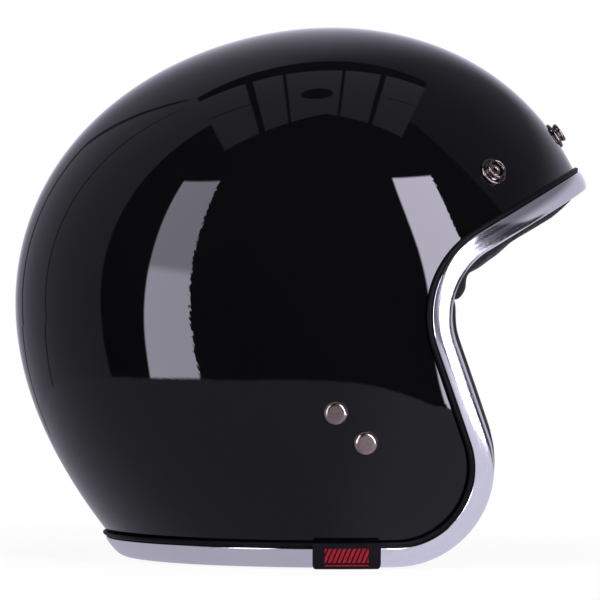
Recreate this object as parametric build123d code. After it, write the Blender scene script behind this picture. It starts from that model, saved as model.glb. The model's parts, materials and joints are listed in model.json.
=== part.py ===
import math
import os
from functools import lru_cache

from build123d import *

# Open-face motorcycle helmet. The wearer looks along +X, the right side is -Y and up is +Z.
# The origin lies on the surface that the helmet stands on, below the middle of its length and width.
# Lengths are in millimetres. A name that ends in share is a part of the size it belongs to.

# Shell: a radius in every direction from one middle point, made oval by the shares below
shell_radius = 146.5
shell_half_width = 116.0
shell_wall = 4.0
middle_x = 8.55
middle_height = 102.1          # above the shell's bottom edge
oval_share = -0.042            # shorter along X, taller along Z
lean_share = -0.020
brow_share = -0.027
crown_share = 0.029
low_side_share = -0.095        # fuller below the middle's height
belly_share = 0.061
temple_share = 0.014

# Side view of the shell's edge: a straight brow, a round eye port, a round jaw, a flat bottom
brow_angle = 31.0
eye_forward = 95.4
eye_up = 10.4
eye_radius = 37.0
jaw_forward = 35.0
jaw_radius = 43.0

# Edge trim: a rubber channel with a bright domed strip in its outer face
trim_floor = 2.0
trim_outer_leg = 9.6
trim_inner_leg = 8.0
trim_lip = 1.3
trim_inner_wall = 1.75
trim_fit = 0.15
trim_corner = 0.6
bead_width = 2.3
bead_proud = 2.1
strip_proud = 2.7
strip_fit = 0.1
strip_foot = 0.7
strip_skin = 0.5
strip_dome_shares = [(0, 0.2), (0.08, 0.62), (0.3, 0.95), (0.55, 1.0), (0.76, 0.88), (0.89, 0.62)]
strip_turn_share = 0.62

# Woven tag folded over the trim at the lower right
tag_thickness = 0.7
tag_width = 31.0
tag_gap = 0.2
tag_forward = 12.3
tag_drape_shares = [(1.0, 0.88), (0.6, 1.0), (0.2, 1.0)]
tag_turn_shares = [(0.5, 0.86), (0.875, 0.66), (1.0, 0.3)]

# Foam liner and padding
fit_gap = 0.3
foam_thickness = 25.7
foam_edge = 9.6
foam_draft_height = 32.0       # below this height the inside runs straight down
crown_pad = 6.0
brow_pad_thickness = 7.0
neck_pad_thickness = 8.0
cheek_pad_thickness = 15.0
cheek_board_wall = 1.2
cheek_clear = 58.0             # nearest that a cheek pad comes to the middle plane
pad_lip_gap = 0.5
brow_roll = 4.5
cheek_roll = 3.5
brow_pad_height = 44.0
brow_pad_back = 25.0
pad_split_back = 37.0
pad_split_up = 4.0
pad_split_angle = 22.6

# Rivets and the strap's anchor plate
rivet_forward = 14.0
rivet_height = 62.1
rivet_pitch = 19.2
rivet_angle = -45.0
rivet_head_radius = 5.6
rivet_head_height = 2.5
rivet_flat_radius = 2.9
rivet_edge_height = 0.75
rivet_shoulder_radius = 4.625
rivet_shoulder_height = 1.95
rivet_shank_radius = 2.4
rivet_hole_radius = 2.5
rivet_tail_radius = 3.7
rivet_tail_height = 1.2
rivet_washer_radius = 4.75
rivet_washer_thickness = 1.0
plate_thickness = 1.5
plate_half_width = 19.0
plate_margin = 8.0
plate_gap = 0.1
plate_corner = 4.0
slot_height = 3.5
slot_margin = 0.8
bar_height = 5.0
seat_gap = 0.25                # under a flat washer on the curved inner face

# Chin strap, from the plate to the bottom edge, and the two loose straps on the table
strap_forward = 17.4
strap_width = 25.0
strap_thickness = 1.7
strap_gap = 0.35
strap_tail = 24.0
strap_floor = 0.3
strap_end_gap = 0.35
short_strap = 59.0
long_strap = 86.0
fold_height = 3.0
fold_end_gap = 0.8
folded_length = 54.0
sewn_length = 15.0
slope_length = 12.0

# D-rings
ring_wire = 3.2
ring_clear = 0.7
ring_leg = 7.0
ring_corner = 2.2
ring_pin_gap = 0.15
ring_tilt = 5.0

# Press stud that keeps the loose strap end
keeper_back = 8.0
keeper_cap_radius = 6.0
keeper_cap_height = 1.4
keeper_post_radius = 2.2
keeper_post_gap = 0.3
keeper_base_radius = 4.6
keeper_base_height = 0.5
keeper_neck_radius = 1.4
keeper_neck_gap = 0.05
keeper_roof_gap = 0.1
keeper_cap_edge = 0.7
keeper_cap_flat_radius = 3.0

# Brow press studs
snap_angle = 40.5              # of the middle stud, above level, seen from the shell's middle
snap_side_forward = 80.0
snap_side_up = 76.9
snap_flange_radius = 6.5
snap_flange_height = 0.9
snap_stud_radius = 4.7
snap_waist_radius = 4.1
snap_stud_height = 4.2
snap_waist_top = 2.3
snap_lip = 0.5
snap_bore_radius = 2.9
snap_hole_radius = 2.1
eyelet_barrel_radius = 2.05
eyelet_bore_radius = 1.3
eyelet_rim_radius = 2.8
eyelet_rim_height = 0.5
snap_washer_radius = 6.0
snap_washer_thickness = 0.8
pocket_margin = 2.0
pocket_depth = 6.3

# Press studs of the cheek boards
board_stud_head_radius = 5.0
board_stud_head_height = 1.0
board_stud_shank_radius = 3.0
board_stud_length = 12.0
board_stud_fit = 0.1
board_stud_places_share = [(-0.11, -0.24), (0.15, 0.03), (0.34, -0.31)]

# How finely the shell is cut into sections, and how far cuts run past the model
rim_sections = {"brow": 11, "eye": 8, "line": 4, "jaw": 10, "bottom": 18}
plan_points = 24
tag_sections = 5
slope_step_share = 0.0001
fan_from = 50.0
fan_to = 280.0
fan_sections = 31
arch_from = 3.5
arch_points = 23
patch_from = 184.0
patch_to = 258.0
patch_sections = 12
patch_lean_from = 12.0
patch_lean_to = 64.0
patch_points = 9
patch_depth_share = 0.4
layer_floor = 72.0             # the strap's layers are cut only this far out from the middle plane
axis_back_share = 0.52
axis_down_share = 0.42
overrun = 10.0

tag_drop = tag_gap + tag_thickness
edge_z = trim_floor + tag_drop
middle_z = edge_z + middle_height
eye_x = middle_x + eye_forward
eye_z = middle_z + eye_up
jaw_x = middle_x + jaw_forward
jaw_z = edge_z + jaw_radius
axis_x = eye_x - axis_back_share * eye_radius
axis_z = eye_z - axis_down_share * eye_radius
far = 3 * shell_radius

foam_outer = shell_wall + fit_gap
foam_inner = foam_outer + foam_thickness
pad_back = foam_inner + fit_gap
board_face = pad_back + cheek_board_wall
cheek_back = board_face + fit_gap
trim_inner_face = shell_wall + trim_fit + trim_inner_wall
pad_lip = trim_inner_face + pad_lip_gap
draft_z = edge_z + foam_draft_height

strap_x = middle_x + strap_forward
rivet_x = middle_x + rivet_forward
rivet_z = edge_z + rivet_height
plate_outer = shell_wall + plate_gap
plate_inner = plate_outer + plate_thickness
tail_outer = shell_wall + 2 * strap_gap
tail_inner = tail_outer + strap_thickness
bar_outer = tail_inner + strap_gap
bar_inner = bar_outer + plate_thickness
strap_outer = bar_inner + strap_gap
strap_inner = strap_outer + strap_thickness
channel_inner = strap_inner + fit_gap
cheek_lip = channel_inner + fit_gap


def direction(angle):
    # Unit step in the side view at an angle above +X
    return math.cos(math.radians(angle)), math.sin(math.radians(angle))


def radius_along(dx, dy, dz):
    # The shell's outer radius along a unit direction from the middle
    cos2, sin2 = dx * dx - dz * dz, 2 * dx * dz
    cos3, sin3 = dx * cos2 - dz * sin2, dx * sin2 + dz * cos2
    side_view = oval_share * cos2 + lean_share * sin2 + brow_share * cos3 + crown_share * sin3
    side = low_side_share * dz + belly_share * dz * dz + temple_share * (1 - dy * dy)
    oval = shell_radius * (1 + side_view + dy * dy * side)
    return oval + (shell_half_width - shell_radius) * dy * dy


def overshoot(x, y, z):
    # How far a point lies beyond the shell's radius in its own direction
    dx, dz = x - middle_x, z - middle_z
    distance = math.sqrt(dx * dx + y * y + dz * dz)
    return distance - radius_along(dx / distance, y / distance, dz / distance)


def gradient(x, y, z):
    step = slope_step_share * shell_radius
    return Vector(
        overshoot(x + step, y, z) - overshoot(x - step, y, z),
        overshoot(x, y + step, z) - overshoot(x, y - step, z),
        overshoot(x, y, z + step) - overshoot(x, y, z - step),
    ) / (2 * step)


def above_shell(x, y, z):
    # Height above the shell's outer face, negative inside it
    return overshoot(x, y, z) / gradient(x, y, z).length


def last_inside(test, limit):
    # The largest value, up to a limit, for which the test still holds
    low, high = 0, limit
    for _ in range(42):
        value = (low + high) / 2
        low, high = (value, high) if test(value) else (low, value)
    return low


def half_width_at(x, z, inset):
    # Half the width at a place in the side view, on the face that lies inset below the shell's
    if above_shell(x, 0, z) + inset >= 0:
        return 0
    return last_inside(lambda y: above_shell(x, y, z) + inset < 0, far)


def shell_plane(x, z, side, inset):
    # A plane that touches a layer's face on one side, with its Z axis pointing outwards
    y = side * half_width_at(x, z, inset)
    return Plane(origin=(x, y, z), z_dir=gradient(x, y, z).normalized())


def arch(angle, leans, inset):
    # Points of one section: a half plane through the axis in the face opening, at an angle
    level, rise = direction(angle)
    points = []
    for lean in leans:
        across, out = direction(lean)
        step = Vector(out * level, across, out * rise)
        reach = last_inside(
            lambda t: above_shell(axis_x + t * step.X, t * step.Y, axis_z + t * step.Z) + inset < 0,
            far,
        )
        points.append(Vector(axis_x, 0, axis_z) + step * reach)
    return points


def even_steps(start, end, count):
    return [start + (end - start) * i / (count - 1) for i in range(count)]


@lru_cache(maxsize=None)
def egg(inset):
    # The closed form of the whole shell, its face moved in by the inset
    leans = even_steps(arch_from, 180 - arch_from, arch_points)
    sections = []
    for angle in even_steps(fan_from, fan_to, fan_sections):
        points = arch(angle, leans, inset)
        curve = Edge.make_spline(points, parameters=even_steps(0, 1, arch_points))
        sections.append(Wire([curve, Edge.make_line(points[-1], points[0])]))
    return Solid.make_loft(sections)


@lru_cache(maxsize=None)
def patch(inset):
    # The same form, only where the strap and its plate lie on the left side
    leans = even_steps(patch_lean_from, patch_lean_to, patch_points)
    hub = Vector(axis_x, 0, axis_z)
    sections = []
    for angle in even_steps(patch_from, patch_to, patch_sections):
        points = arch(angle, leans, inset)
        curve = Edge.make_spline(points, parameters=even_steps(0, 1, patch_points))
        deep_end = hub + (points[-1] - hub) * patch_depth_share
        deep_start = hub + (points[0] - hub) * patch_depth_share
        lines = [
            Edge.make_line(points[-1], deep_end),
            Edge.make_line(deep_end, deep_start),
            Edge.make_line(deep_start, points[0]),
        ]
        sections.append(Wire([curve] + lines))
    return Solid.make_loft(sections)


def side_prism(face):
    return extrude(Plane.XZ * face, amount=shell_radius + overrun, both=True)


def side_box(x_from, x_to, z_from, z_to):
    outline = Polyline((x_from, z_from), (x_to, z_from), (x_to, z_to), (x_from, z_to), close=True)
    return side_prism(make_face(outline))


def yz_box(y_from, y_to, z_from, z_to):
    middle = Pos((y_from + y_to) / 2, (z_from + z_to) / 2)
    return middle * Rectangle(abs(y_to - y_from), z_to - z_from)


def rim_geometry(grow):
    # Side view of the edge, moved into the shell by grow: its tangent points and arcs
    eye_r, jaw_r = eye_radius + grow, jaw_radius - grow
    span = math.hypot(jaw_x - eye_x, jaw_z - eye_z)
    heading = math.degrees(math.atan2(jaw_z - eye_z, jaw_x - eye_x))
    tangent = heading + math.degrees(math.acos(-(eye_r + jaw_r) / span))
    tangent = (tangent + 180) % 360 - 180
    return eye_r, jaw_r, tangent


def around(x, z, radius, angle):
    level, rise = direction(angle)
    return x + radius * level, z + radius * rise


@lru_cache(maxsize=None)
def shell_side(grow):
    # Everything behind and above the edge line
    eye_r, jaw_r, tangent = rim_geometry(grow)
    brow_start = around(eye_x, eye_z, eye_r, brow_angle + 90)
    brow_end = around(brow_start[0], brow_start[1], far, brow_angle)
    eye_mid = around(eye_x, eye_z, eye_r, (brow_angle + 270 + tangent) / 2)
    eye_end = around(eye_x, eye_z, eye_r, 180 + tangent)
    jaw_start = around(jaw_x, jaw_z, jaw_r, tangent)
    jaw_mid = around(jaw_x, jaw_z, jaw_r, (tangent - 90) / 2)
    jaw_end = around(jaw_x, jaw_z, jaw_r, -90)
    outline = [
        Line(brow_end, brow_start),
        ThreePointArc(brow_start, eye_mid, eye_end),
        Line(eye_end, jaw_start),
        ThreePointArc(jaw_start, jaw_mid, jaw_end),
        Polyline(jaw_end, (-far, jaw_end[1]), (-far, brow_end[1]), brow_end),
    ]
    return side_prism(make_face(outline))


@lru_cache(maxsize=None)
def straight_core(inset):
    # The inside below the draft height: that height's plan, carried straight down
    points = []
    for step in range(plan_points):
        level, side = direction(360 * step / plan_points)
        reach = last_inside(
            lambda t: above_shell(middle_x + t * level, t * side, draft_z) + inset < 0, far
        )
        points.append((middle_x + reach * level, reach * side, 0))
    plan = make_face(Edge.make_spline([Vector(*p) for p in points], periodic=True))
    return Pos(0, 0, -overrun) * extrude(plan, amount=draft_z + 2 * overrun)


def hollow_out(solid, inset):
    return solid - egg(inset) - straight_core(inset)


def split_height(x):
    level, rise = direction(pad_split_angle)
    return middle_z + pad_split_up + (x - middle_x + pad_split_back) * rise / level


def half_side(above, gap):
    # The side-view half above or below the line that parts the crown from the lower pads
    edge = far if above else -far
    lift = gap / 2 if above else -gap / 2
    outline = Polyline(
        (-far, split_height(-far) + lift),
        (far, split_height(far) + lift),
        (far, split_height(far) + edge),
        (-far, split_height(-far) + edge),
        close=True,
    )
    return side_prism(make_face(outline))


def brow_zone(gap):
    # A block along the brow, turned to its slope and grown by a gap
    start_x, start_z = around(eye_x, eye_z, eye_radius, brow_angle + 90)
    height = far + brow_pad_height + gap
    block = Pos(far / 2 - brow_pad_back - gap, (height - 2 * far) / 2 + far / 2) * Rectangle(
        far, height
    )
    return side_prism(Pos(start_x, start_z) * Rot(0, 0, brow_angle) * block)


def lipped_pad(zone, roll, lip_inset, back_inset, face_inset):
    # A pad on the foam's inner face that also covers the foam's edge, behind the trim
    body = hollow_out(egg(lip_inset) & shell_side(-roll) & zone, face_inset)
    behind = hollow_out(shell_side(foam_edge - fit_gap), back_inset)
    return body - behind


def make_outer_shell(holes):
    shell = (egg(0) & shell_side(0)) - egg(shell_wall)
    for hole in holes:
        shell -= hole
    return shell


def rim_point(segment, share, grow, inset):
    # A point of the edge on the left side. Shares run from the brow's middle to the nape's
    eye_r, jaw_r, tangent = rim_geometry(grow)
    if segment == "brow":
        start = around(eye_x, eye_z, eye_r, brow_angle + 90)
        full = last_inside(
            lambda t: above_shell(*side_to_space(around(*start, t, brow_angle))) + inset < 0, far
        )
        x, z = around(*start, full * (1 - share**2), brow_angle)
        on_end = share == 0
    elif segment == "eye":
        x, z = around(eye_x, eye_z, eye_r, brow_angle + 90 + share * (90 + tangent - brow_angle))
        on_end = False
    elif segment == "line":
        start = around(eye_x, eye_z, eye_r, 180 + tangent)
        end = around(jaw_x, jaw_z, jaw_r, tangent)
        x = start[0] + share * (end[0] - start[0])
        z = start[1] + share * (end[1] - start[1])
        on_end = False
    elif segment == "jaw":
        x, z = around(jaw_x, jaw_z, jaw_r, tangent - share * (tangent + 90))
        on_end = False
    else:
        x, z = around(jaw_x, jaw_z, jaw_r, -90)
        full = last_inside(lambda t: above_shell(x - t, 0, z) + inset < 0, far)
        x -= full * (1 - (1 - share) ** 2)
        on_end = share == 1
    return Vector(x, 0 if on_end else half_width_at(x, z, inset), z)


def side_to_space(place):
    return place[0], 0, place[1]


def rim_stations():
    stations = [("brow", 0)]
    for segment, count in rim_sections.items():
        stations += [(segment, step / count) for step in range(1, count + 1)]
    return stations


def section_wire(profile, locate):
    # One closed section from lines (two places) and curves (three places or more)
    edges = []
    for places in profile:
        points = [locate(*place) for place in places]
        if len(points) == 2:
            edges.append(Edge.make_line(*points))
        else:
            edges.append(Edge.make_spline(points, parameters=even_steps(0, 1, len(points))))
    return Wire(edges)


def rim_ring(profile):
    # The profile carried round the left half of the edge, and its mirror image
    wires = []
    for segment, share in rim_stations():
        wires.append(section_wire(profile, lambda g, i: rim_point(segment, share, g, i)))
    half = Solid.make_loft(wires)
    return half + mirror(half, about=Plane.XZ)


def rubber_profile():
    # Places are (into the shell from its edge, below its outer face)
    bead_foot = trim_outer_leg - bead_width
    wall = shell_wall + trim_fit
    back = wall + trim_inner_wall
    tip = -(trim_floor - strip_skin - strip_fit)
    return [
        [(trim_outer_leg, -trim_fit), (trim_outer_leg, -trim_lip)],
        [
            (trim_outer_leg, -trim_lip),
            (trim_outer_leg - bead_width / 2, -bead_proud),
            (bead_foot, -trim_lip),
        ],
        [(bead_foot, -trim_lip), (bead_foot / 2, -trim_lip), (tip + trim_corner, -trim_lip)],
        [
            (tip + trim_corner, -trim_lip),
            (tip + trim_corner / 4, -trim_lip + trim_corner / 4),
            (tip, -trim_lip + trim_corner),
        ],
        [(tip, -trim_lip + trim_corner), (tip, strip_foot + strip_fit)],
        [(tip, strip_foot + strip_fit), (-trim_floor, strip_foot + strip_fit)],
        [(-trim_floor, strip_foot + strip_fit), (-trim_floor, back - trim_corner)],
        [
            (-trim_floor, back - trim_corner),
            (-trim_floor + trim_corner / 4, back - trim_corner / 4),
            (-trim_floor + trim_corner, back),
        ],
        [(-trim_floor + trim_corner, back), (trim_inner_leg / 2, back), (trim_inner_leg, back)],
        [(trim_inner_leg, back), (trim_inner_leg, wall)],
        [(trim_inner_leg, wall), (trim_inner_leg / 2, wall), (-trim_fit, wall)],
        [(-trim_fit, wall), (-trim_fit, -trim_fit)],
        [(-trim_fit, -trim_fit), (trim_outer_leg / 2, -trim_fit), (trim_outer_leg, -trim_fit)],
    ]


def strip_dome():
    # The strip's outer face, then its turn down to the foot under the channel
    top = trim_outer_leg - bead_width - strip_fit
    base = trim_lip + strip_fit
    rise = strip_proud - base
    width = top + trim_floor
    dome = [(top - width * along, -base - rise * up) for along, up in strip_dome_shares]
    start, drop = dome[-1][0] + trim_floor, -dome[-1][1] - trim_corner
    turn = [
        dome[-1],
        (start / 4 - trim_floor, -trim_corner - strip_turn_share * drop),
        (-trim_floor, -trim_corner),
    ]
    return dome, turn


def strip_profile():
    dome, turn = strip_dome()
    base = trim_lip + strip_fit
    tip = -(trim_floor - strip_skin)
    top = dome[0][0]
    return [
        dome,
        turn,
        [turn[-1], (-trim_floor, strip_foot)],
        [(-trim_floor, strip_foot), (tip, strip_foot)],
        [(tip, strip_foot), (tip, -base + trim_corner)],
        [
            (tip, -base + trim_corner),
            (tip + trim_corner / 4, -base + trim_corner / 4),
            (tip + trim_corner, -base),
        ],
        [(tip + trim_corner, -base), (top / 2, -base), (top, -base)],
        [(top, -base), dome[0]],
    ]


def tag_path(rise):
    # From the bead outside, round under the trim, to the top of the leg inside
    proud = strip_proud + tag_gap + rise
    under = trim_floor + tag_gap + rise
    inside = trim_inner_face + tag_gap + rise
    corner = trim_corner + rise
    top = trim_outer_leg
    outer = [(along * top, -up * proud) for along, up in tag_drape_shares]
    drop = [(-down * under, -up * proud) for down, up in tag_turn_shares]
    turn = [
        (-under, inside - corner),
        (-under + corner / 4, inside - corner / 4),
        (-under + corner, inside),
    ]
    rise_in = [turn[-1], (trim_inner_leg / 2, inside), (trim_inner_leg, inside)]
    return [outer + drop[:1], drop, [drop[-1], turn[0]], turn, rise_in]


def make_side_tag():
    inner, outer = tag_path(0), tag_path(tag_thickness)
    profile = inner + [[inner[-1][-1], outer[-1][-1]]]
    profile += [places[::-1] for places in outer[::-1]]
    profile += [[outer[0][0], inner[0][0]]]
    wires = []
    centre = middle_x + tag_forward
    for x in even_steps(centre + tag_width / 2, centre - tag_width / 2, tag_sections):
        def locate(grow, inset):
            z = edge_z + grow
            return Vector(x, -half_width_at(x, z, inset), z)
        wires.append(section_wire(profile, locate))
    return Solid.make_loft(wires)


def turned(points):
    # A solid of revolution about Z from a profile of (radius, height) places
    return revolve(Plane.XZ * make_face(Polyline(*points, close=True)), Axis.Z)


def ring_washer(outer_radius, inner_radius, thickness):
    return turned(
        [(inner_radius, 0), (outer_radius, 0), (outer_radius, thickness), (inner_radius, thickness)]
    )


def rivet_places():
    level, rise = direction(rivet_angle)
    step = rivet_pitch / 2
    return [
        (rivet_x - step * level, rivet_z - step * rise),
        (rivet_x + step * level, rivet_z + step * rise),
    ]


def snap_places():
    level, rise = direction(snap_angle)
    reach = last_inside(
        lambda t: above_shell(middle_x + t * level, 0, middle_z + t * rise) < 0, far
    )
    side_x, side_z = middle_x + snap_side_forward, middle_z + snap_side_up
    middle = (middle_x + reach * level, middle_z + reach * rise, 0)
    return [middle, (side_x, side_z, -1), (side_x, side_z, 1)]


def on_shell(x, z, side):
    # The shell's outward plane at a place of the side view; side 0 is the middle line
    if side == 0:
        return Plane(origin=(x, 0, z), z_dir=gradient(x, 0, z).normalized())
    return shell_plane(x, z, side, 0)


def make_rivet():
    # Domed head with a flat top, shank, and the tail spread over its washer
    shank_end = plate_inner + seat_gap + rivet_washer_thickness
    arc = ThreePointArc(
        (rivet_head_radius, rivet_edge_height),
        (rivet_shoulder_radius, rivet_shoulder_height),
        (rivet_flat_radius, rivet_head_height),
    )
    rest = Polyline(
        (rivet_flat_radius, rivet_head_height), (0, rivet_head_height),
        (0, -shank_end - rivet_tail_height), (rivet_tail_radius, -shank_end - rivet_tail_height),
        (rivet_tail_radius, -shank_end), (rivet_shank_radius, -shank_end),
        (rivet_shank_radius, 0), (rivet_head_radius, 0), (rivet_head_radius, rivet_edge_height),
    )
    return revolve(Plane.XZ * make_face([arc, rest]), Axis.Z)


def make_snap_stud():
    # Flange with a raised rim, a waist, and the stud's open head
    lip, floor = snap_lip, snap_flange_height
    profile = Polyline(
        (snap_hole_radius, 0), (snap_flange_radius, 0), (snap_flange_radius, floor),
        (snap_flange_radius - lip, floor + lip), (snap_stud_radius + lip, floor + lip),
        (snap_stud_radius, floor), (snap_waist_radius, floor + lip),
        (snap_waist_radius, snap_waist_top), (snap_stud_radius, snap_waist_top + lip),
        (snap_stud_radius, snap_stud_height - lip), (snap_stud_radius - lip, snap_stud_height),
        (snap_bore_radius + lip, snap_stud_height), (snap_bore_radius, snap_stud_height - lip),
        (snap_bore_radius, floor), (snap_hole_radius, floor), close=True,
    )
    return revolve(Plane.XZ * make_face(profile), Axis.Z)


def make_snap_eyelet():
    # A hollow rivet: a rolled rim inside the stud, a barrel, and a rim under the washer
    deep = shell_wall + seat_gap + snap_washer_thickness
    top = snap_flange_height
    return turned([
        (eyelet_bore_radius, top + eyelet_rim_height), (eyelet_rim_radius, top + eyelet_rim_height),
        (eyelet_rim_radius, top), (eyelet_barrel_radius, top),
        (eyelet_barrel_radius, -deep), (eyelet_rim_radius, -deep),
        (eyelet_rim_radius, -deep - eyelet_rim_height),
        (eyelet_bore_radius, -deep - eyelet_rim_height),
    ])


def post_hole(radius, depth):
    return Pos(0, 0, -depth / 2) * Cylinder(radius, depth)


def plate_span():
    # Side-view limits of the anchor plate, and of its strap slot
    places = rivet_places()
    top = max(z for _, z in places) + plate_margin
    slot_top = min(z for _, z in places) - plate_margin
    slot_low = slot_top - slot_height
    return slot_low - bar_height, slot_low, slot_top, top


def layer_box(outer, inner, half_width, z_from, z_to):
    # A layer of the left side between two insets, about the strap's line
    middle = Pos(strap_x, layer_floor + far / 2, (z_from + z_to) / 2)
    box = middle * Box(2 * half_width, far, z_to - z_from)
    return (patch(outer) & box) - (patch(inner) & box)


def make_anchor_plate():
    # Follows the shell's inside; its lower bar stands further in, so the strap can wrap it
    low, slot_low, slot_top, top = plate_span()
    step = slot_top + plate_thickness
    wide = plate_half_width + overrun
    outline = Pos(strap_x, (low + top) / 2) * RectangleRounded(
        2 * plate_half_width, top - low, plate_corner
    )
    plate = layer_box(plate_outer, bar_inner, wide, low - overrun, top + overrun)
    plate &= side_prism(outline)
    over_top = top + 2 * overrun
    plate -= layer_box(plate_inner, strap_inner, wide + overrun, step + plate_thickness, over_top)
    plate -= layer_box(0, bar_outer, wide + overrun, low - 2 * overrun, step)
    half_slot = strap_width / 2 + slot_margin
    plate -= side_box(strap_x - half_slot, strap_x + half_slot, slot_low, slot_top)
    for x, z in rivet_places():
        plane = on_shell(x, z, 1)
        plate -= plane.location * post_hole(rivet_hole_radius, pocket_depth + shell_wall)
    return plate


def make_strap_root():
    # Up from the edge, through the slot, round the bar and sewn down behind it
    low, slot_low, slot_top, _ = plate_span()
    half = strap_width / 2
    wide = half + overrun
    tail_end = low - strap_tail
    strap = layer_box(tail_outer, strap_inner, half, root_end_z, slot_top - strap_gap)
    strap -= layer_box(0, strap_outer, wide, root_end_z - overrun, tail_end)
    strap -= layer_box(tail_inner, strap_outer, wide, low - strap_gap, slot_low + strap_gap)
    return strap


def make_foam_liner():
    # Foam from the shell to the padding, with room for the plates, straps, rivets and washers
    foam = hollow_out(egg(foam_outer) & shell_side(foam_edge), foam_inner)
    low, _, _, top = plate_span()
    wide = plate_half_width + pocket_margin
    room = layer_box(0, channel_inner, wide, low - pocket_margin, top + pocket_margin)
    room += layer_box(0, channel_inner, strap_width / 2 + pocket_margin, edge_z, low)
    foam = foam - room - mirror(room, about=Plane.XZ)
    for x, z, side in snap_places():
        plane = on_shell(x, z, side)
        foam -= plane.location * post_hole(
            snap_washer_radius + pocket_margin, foam_outer + snap_washer_thickness + pocket_margin
        )
    for side in (-1, 1):
        for plane in board_stud_planes(side):
            foam -= plane.location * post_hole(
                board_stud_shank_radius + board_stud_fit, board_stud_length + pocket_margin
            ).mirror(Plane.XY)
    return foam


def board_stud_planes(side):
    planes = []
    for forward, up in board_stud_places_share:
        x, z = middle_x + forward * shell_radius, middle_z + up * shell_radius
        planes.append(shell_plane(x, z, side, board_face))
    return planes


def make_board_stud():
    # Head towards the cheek, shank out through the board into the foam
    return turned([
        (0, -board_stud_head_height), (board_stud_head_radius, -board_stud_head_height),
        (board_stud_head_radius, -fit_gap), (board_stud_shank_radius, -fit_gap),
        (board_stud_shank_radius, board_stud_length), (0, board_stud_length),
    ])


def cheek_zone():
    zone = half_side(False, fit_gap) & side_box(
        middle_x - pad_split_back + fit_gap / 2, far, edge_z, far
    )
    return zone - brow_zone(fit_gap)


def make_cheek_board():
    zone = cheek_zone() & shell_side(foam_edge)
    core = (egg(pad_back) + straight_core(pad_back)) & zone
    board = hollow_out(core, board_face)
    board &= Pos(0, far / 2, 0) * Box(2 * far, far, 2 * far)
    for plane in board_stud_planes(1):
        board -= plane.location * Cylinder(board_stud_shank_radius + board_stud_fit, overrun)
    return board


def make_cheek_pad():
    pad = lipped_pad(cheek_zone(), cheek_roll, cheek_lip, cheek_back,
                     cheek_back + cheek_pad_thickness)
    pad &= Pos(0, cheek_clear + far / 2, 0) * Box(2 * far, far, 2 * far)
    for plane in board_stud_planes(1):
        room = board_stud_head_height + fit_gap
        pad -= plane.location * post_hole(board_stud_head_radius + fit_gap, room)
    return pad


def make_neck_pad():
    zone = half_side(False, fit_gap) & side_box(
        -far, middle_x - pad_split_back - fit_gap / 2, edge_z, far
    )
    return lipped_pad(zone, 0, pad_lip, pad_back, pad_back + neck_pad_thickness)


def make_brow_pad():
    return lipped_pad(brow_zone(0), brow_roll, pad_lip, pad_back, pad_back + brow_pad_thickness)


def make_crown_liner():
    zone = half_side(True, fit_gap) & shell_side(0)
    return (egg(pad_back) & zone) - egg(pad_back + crown_pad) - brow_zone(fit_gap)


# The loose straps lie on the table, inwards from their fold at the bottom edge
strap_mid_z = strap_floor + strap_thickness / 2
root_end_z = strap_floor + strap_thickness + strap_end_gap
hinge_y = half_width_at(strap_x, strap_mid_z, (strap_outer + strap_inner) / 2)
ring_bar_y = hinge_y - short_strap
lower_bar_z = strap_floor + strap_thickness + ring_pin_gap + ring_wire / 2
upper_bar_z = lower_bar_z + ring_wire + ring_pin_gap
fold_y = -hinge_y + long_strap
fold_upper_z = strap_floor + strap_thickness + fold_height
end_pivot_y = fold_y - fold_end_gap - strap_thickness / 2
keeper_y = end_pivot_y - folded_length + keeper_back


def across_strap(face):
    # A profile in the YZ plane, carried across the strap's width
    solid = extrude(Plane.YZ * face, amount=strap_width / 2, both=True)
    return Pos(strap_x, 0, 0) * solid


def make_short_strap():
    # Round end at the fold, and a sewn loop that holds both ring bars
    low, top = strap_floor, strap_floor + strap_thickness
    pocket = ring_wire / 2 + ring_pin_gap
    loop_top = upper_bar_z + pocket
    loop_face = ring_bar_y - pocket
    slope_start = ring_bar_y + pocket
    slope_end = slope_start + slope_length
    face = yz_box(loop_face - strap_thickness, hinge_y, low, top)
    face += Pos(hinge_y, strap_mid_z) * Circle(strap_thickness / 2)
    face += yz_box(loop_face - strap_thickness, loop_face, low, loop_top + strap_thickness)
    face += yz_box(loop_face - strap_thickness, slope_start, loop_top, loop_top + strap_thickness)
    slope = Polyline(
        (slope_start, loop_top), (slope_start, loop_top + strap_thickness),
        (slope_end + strap_thickness, top + strap_thickness), (slope_end, top), close=True,
    )
    face += make_face(slope)
    face += yz_box(slope_end, slope_end + sewn_length, top, top + strap_thickness)
    return across_strap(face)


def make_long_strap():
    # Round end at the fold at the edge, a flat run, and the turn of its folded end
    low, top = strap_floor, strap_floor + strap_thickness
    turn_z = (low + fold_upper_z + strap_thickness) / 2
    outer = (fold_upper_z + strap_thickness - low) / 2
    face = yz_box(-hinge_y, fold_y, low, top)
    face += Pos(-hinge_y, strap_mid_z) * Circle(strap_thickness / 2)
    ring = Pos(fold_y, turn_z) * (Circle(outer) - Circle(outer - strap_thickness))
    ring &= yz_box(fold_y, fold_y + 2 * outer, low, fold_upper_z + strap_thickness)
    return across_strap(face + ring)


def make_folded_end():
    # Lies above the flat run, back towards the edge
    mid_z = fold_upper_z + strap_thickness / 2
    face = yz_box(end_pivot_y - folded_length, end_pivot_y, fold_upper_z,
                  fold_upper_z + strap_thickness)
    face += Pos(end_pivot_y, mid_z) * Circle(strap_thickness / 2)
    strap = across_strap(face)
    hole = Pos(strap_x, keeper_y, mid_z) * Cylinder(
        keeper_neck_radius + keeper_neck_gap, strap_thickness + overrun
    )
    return strap - hole


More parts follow.
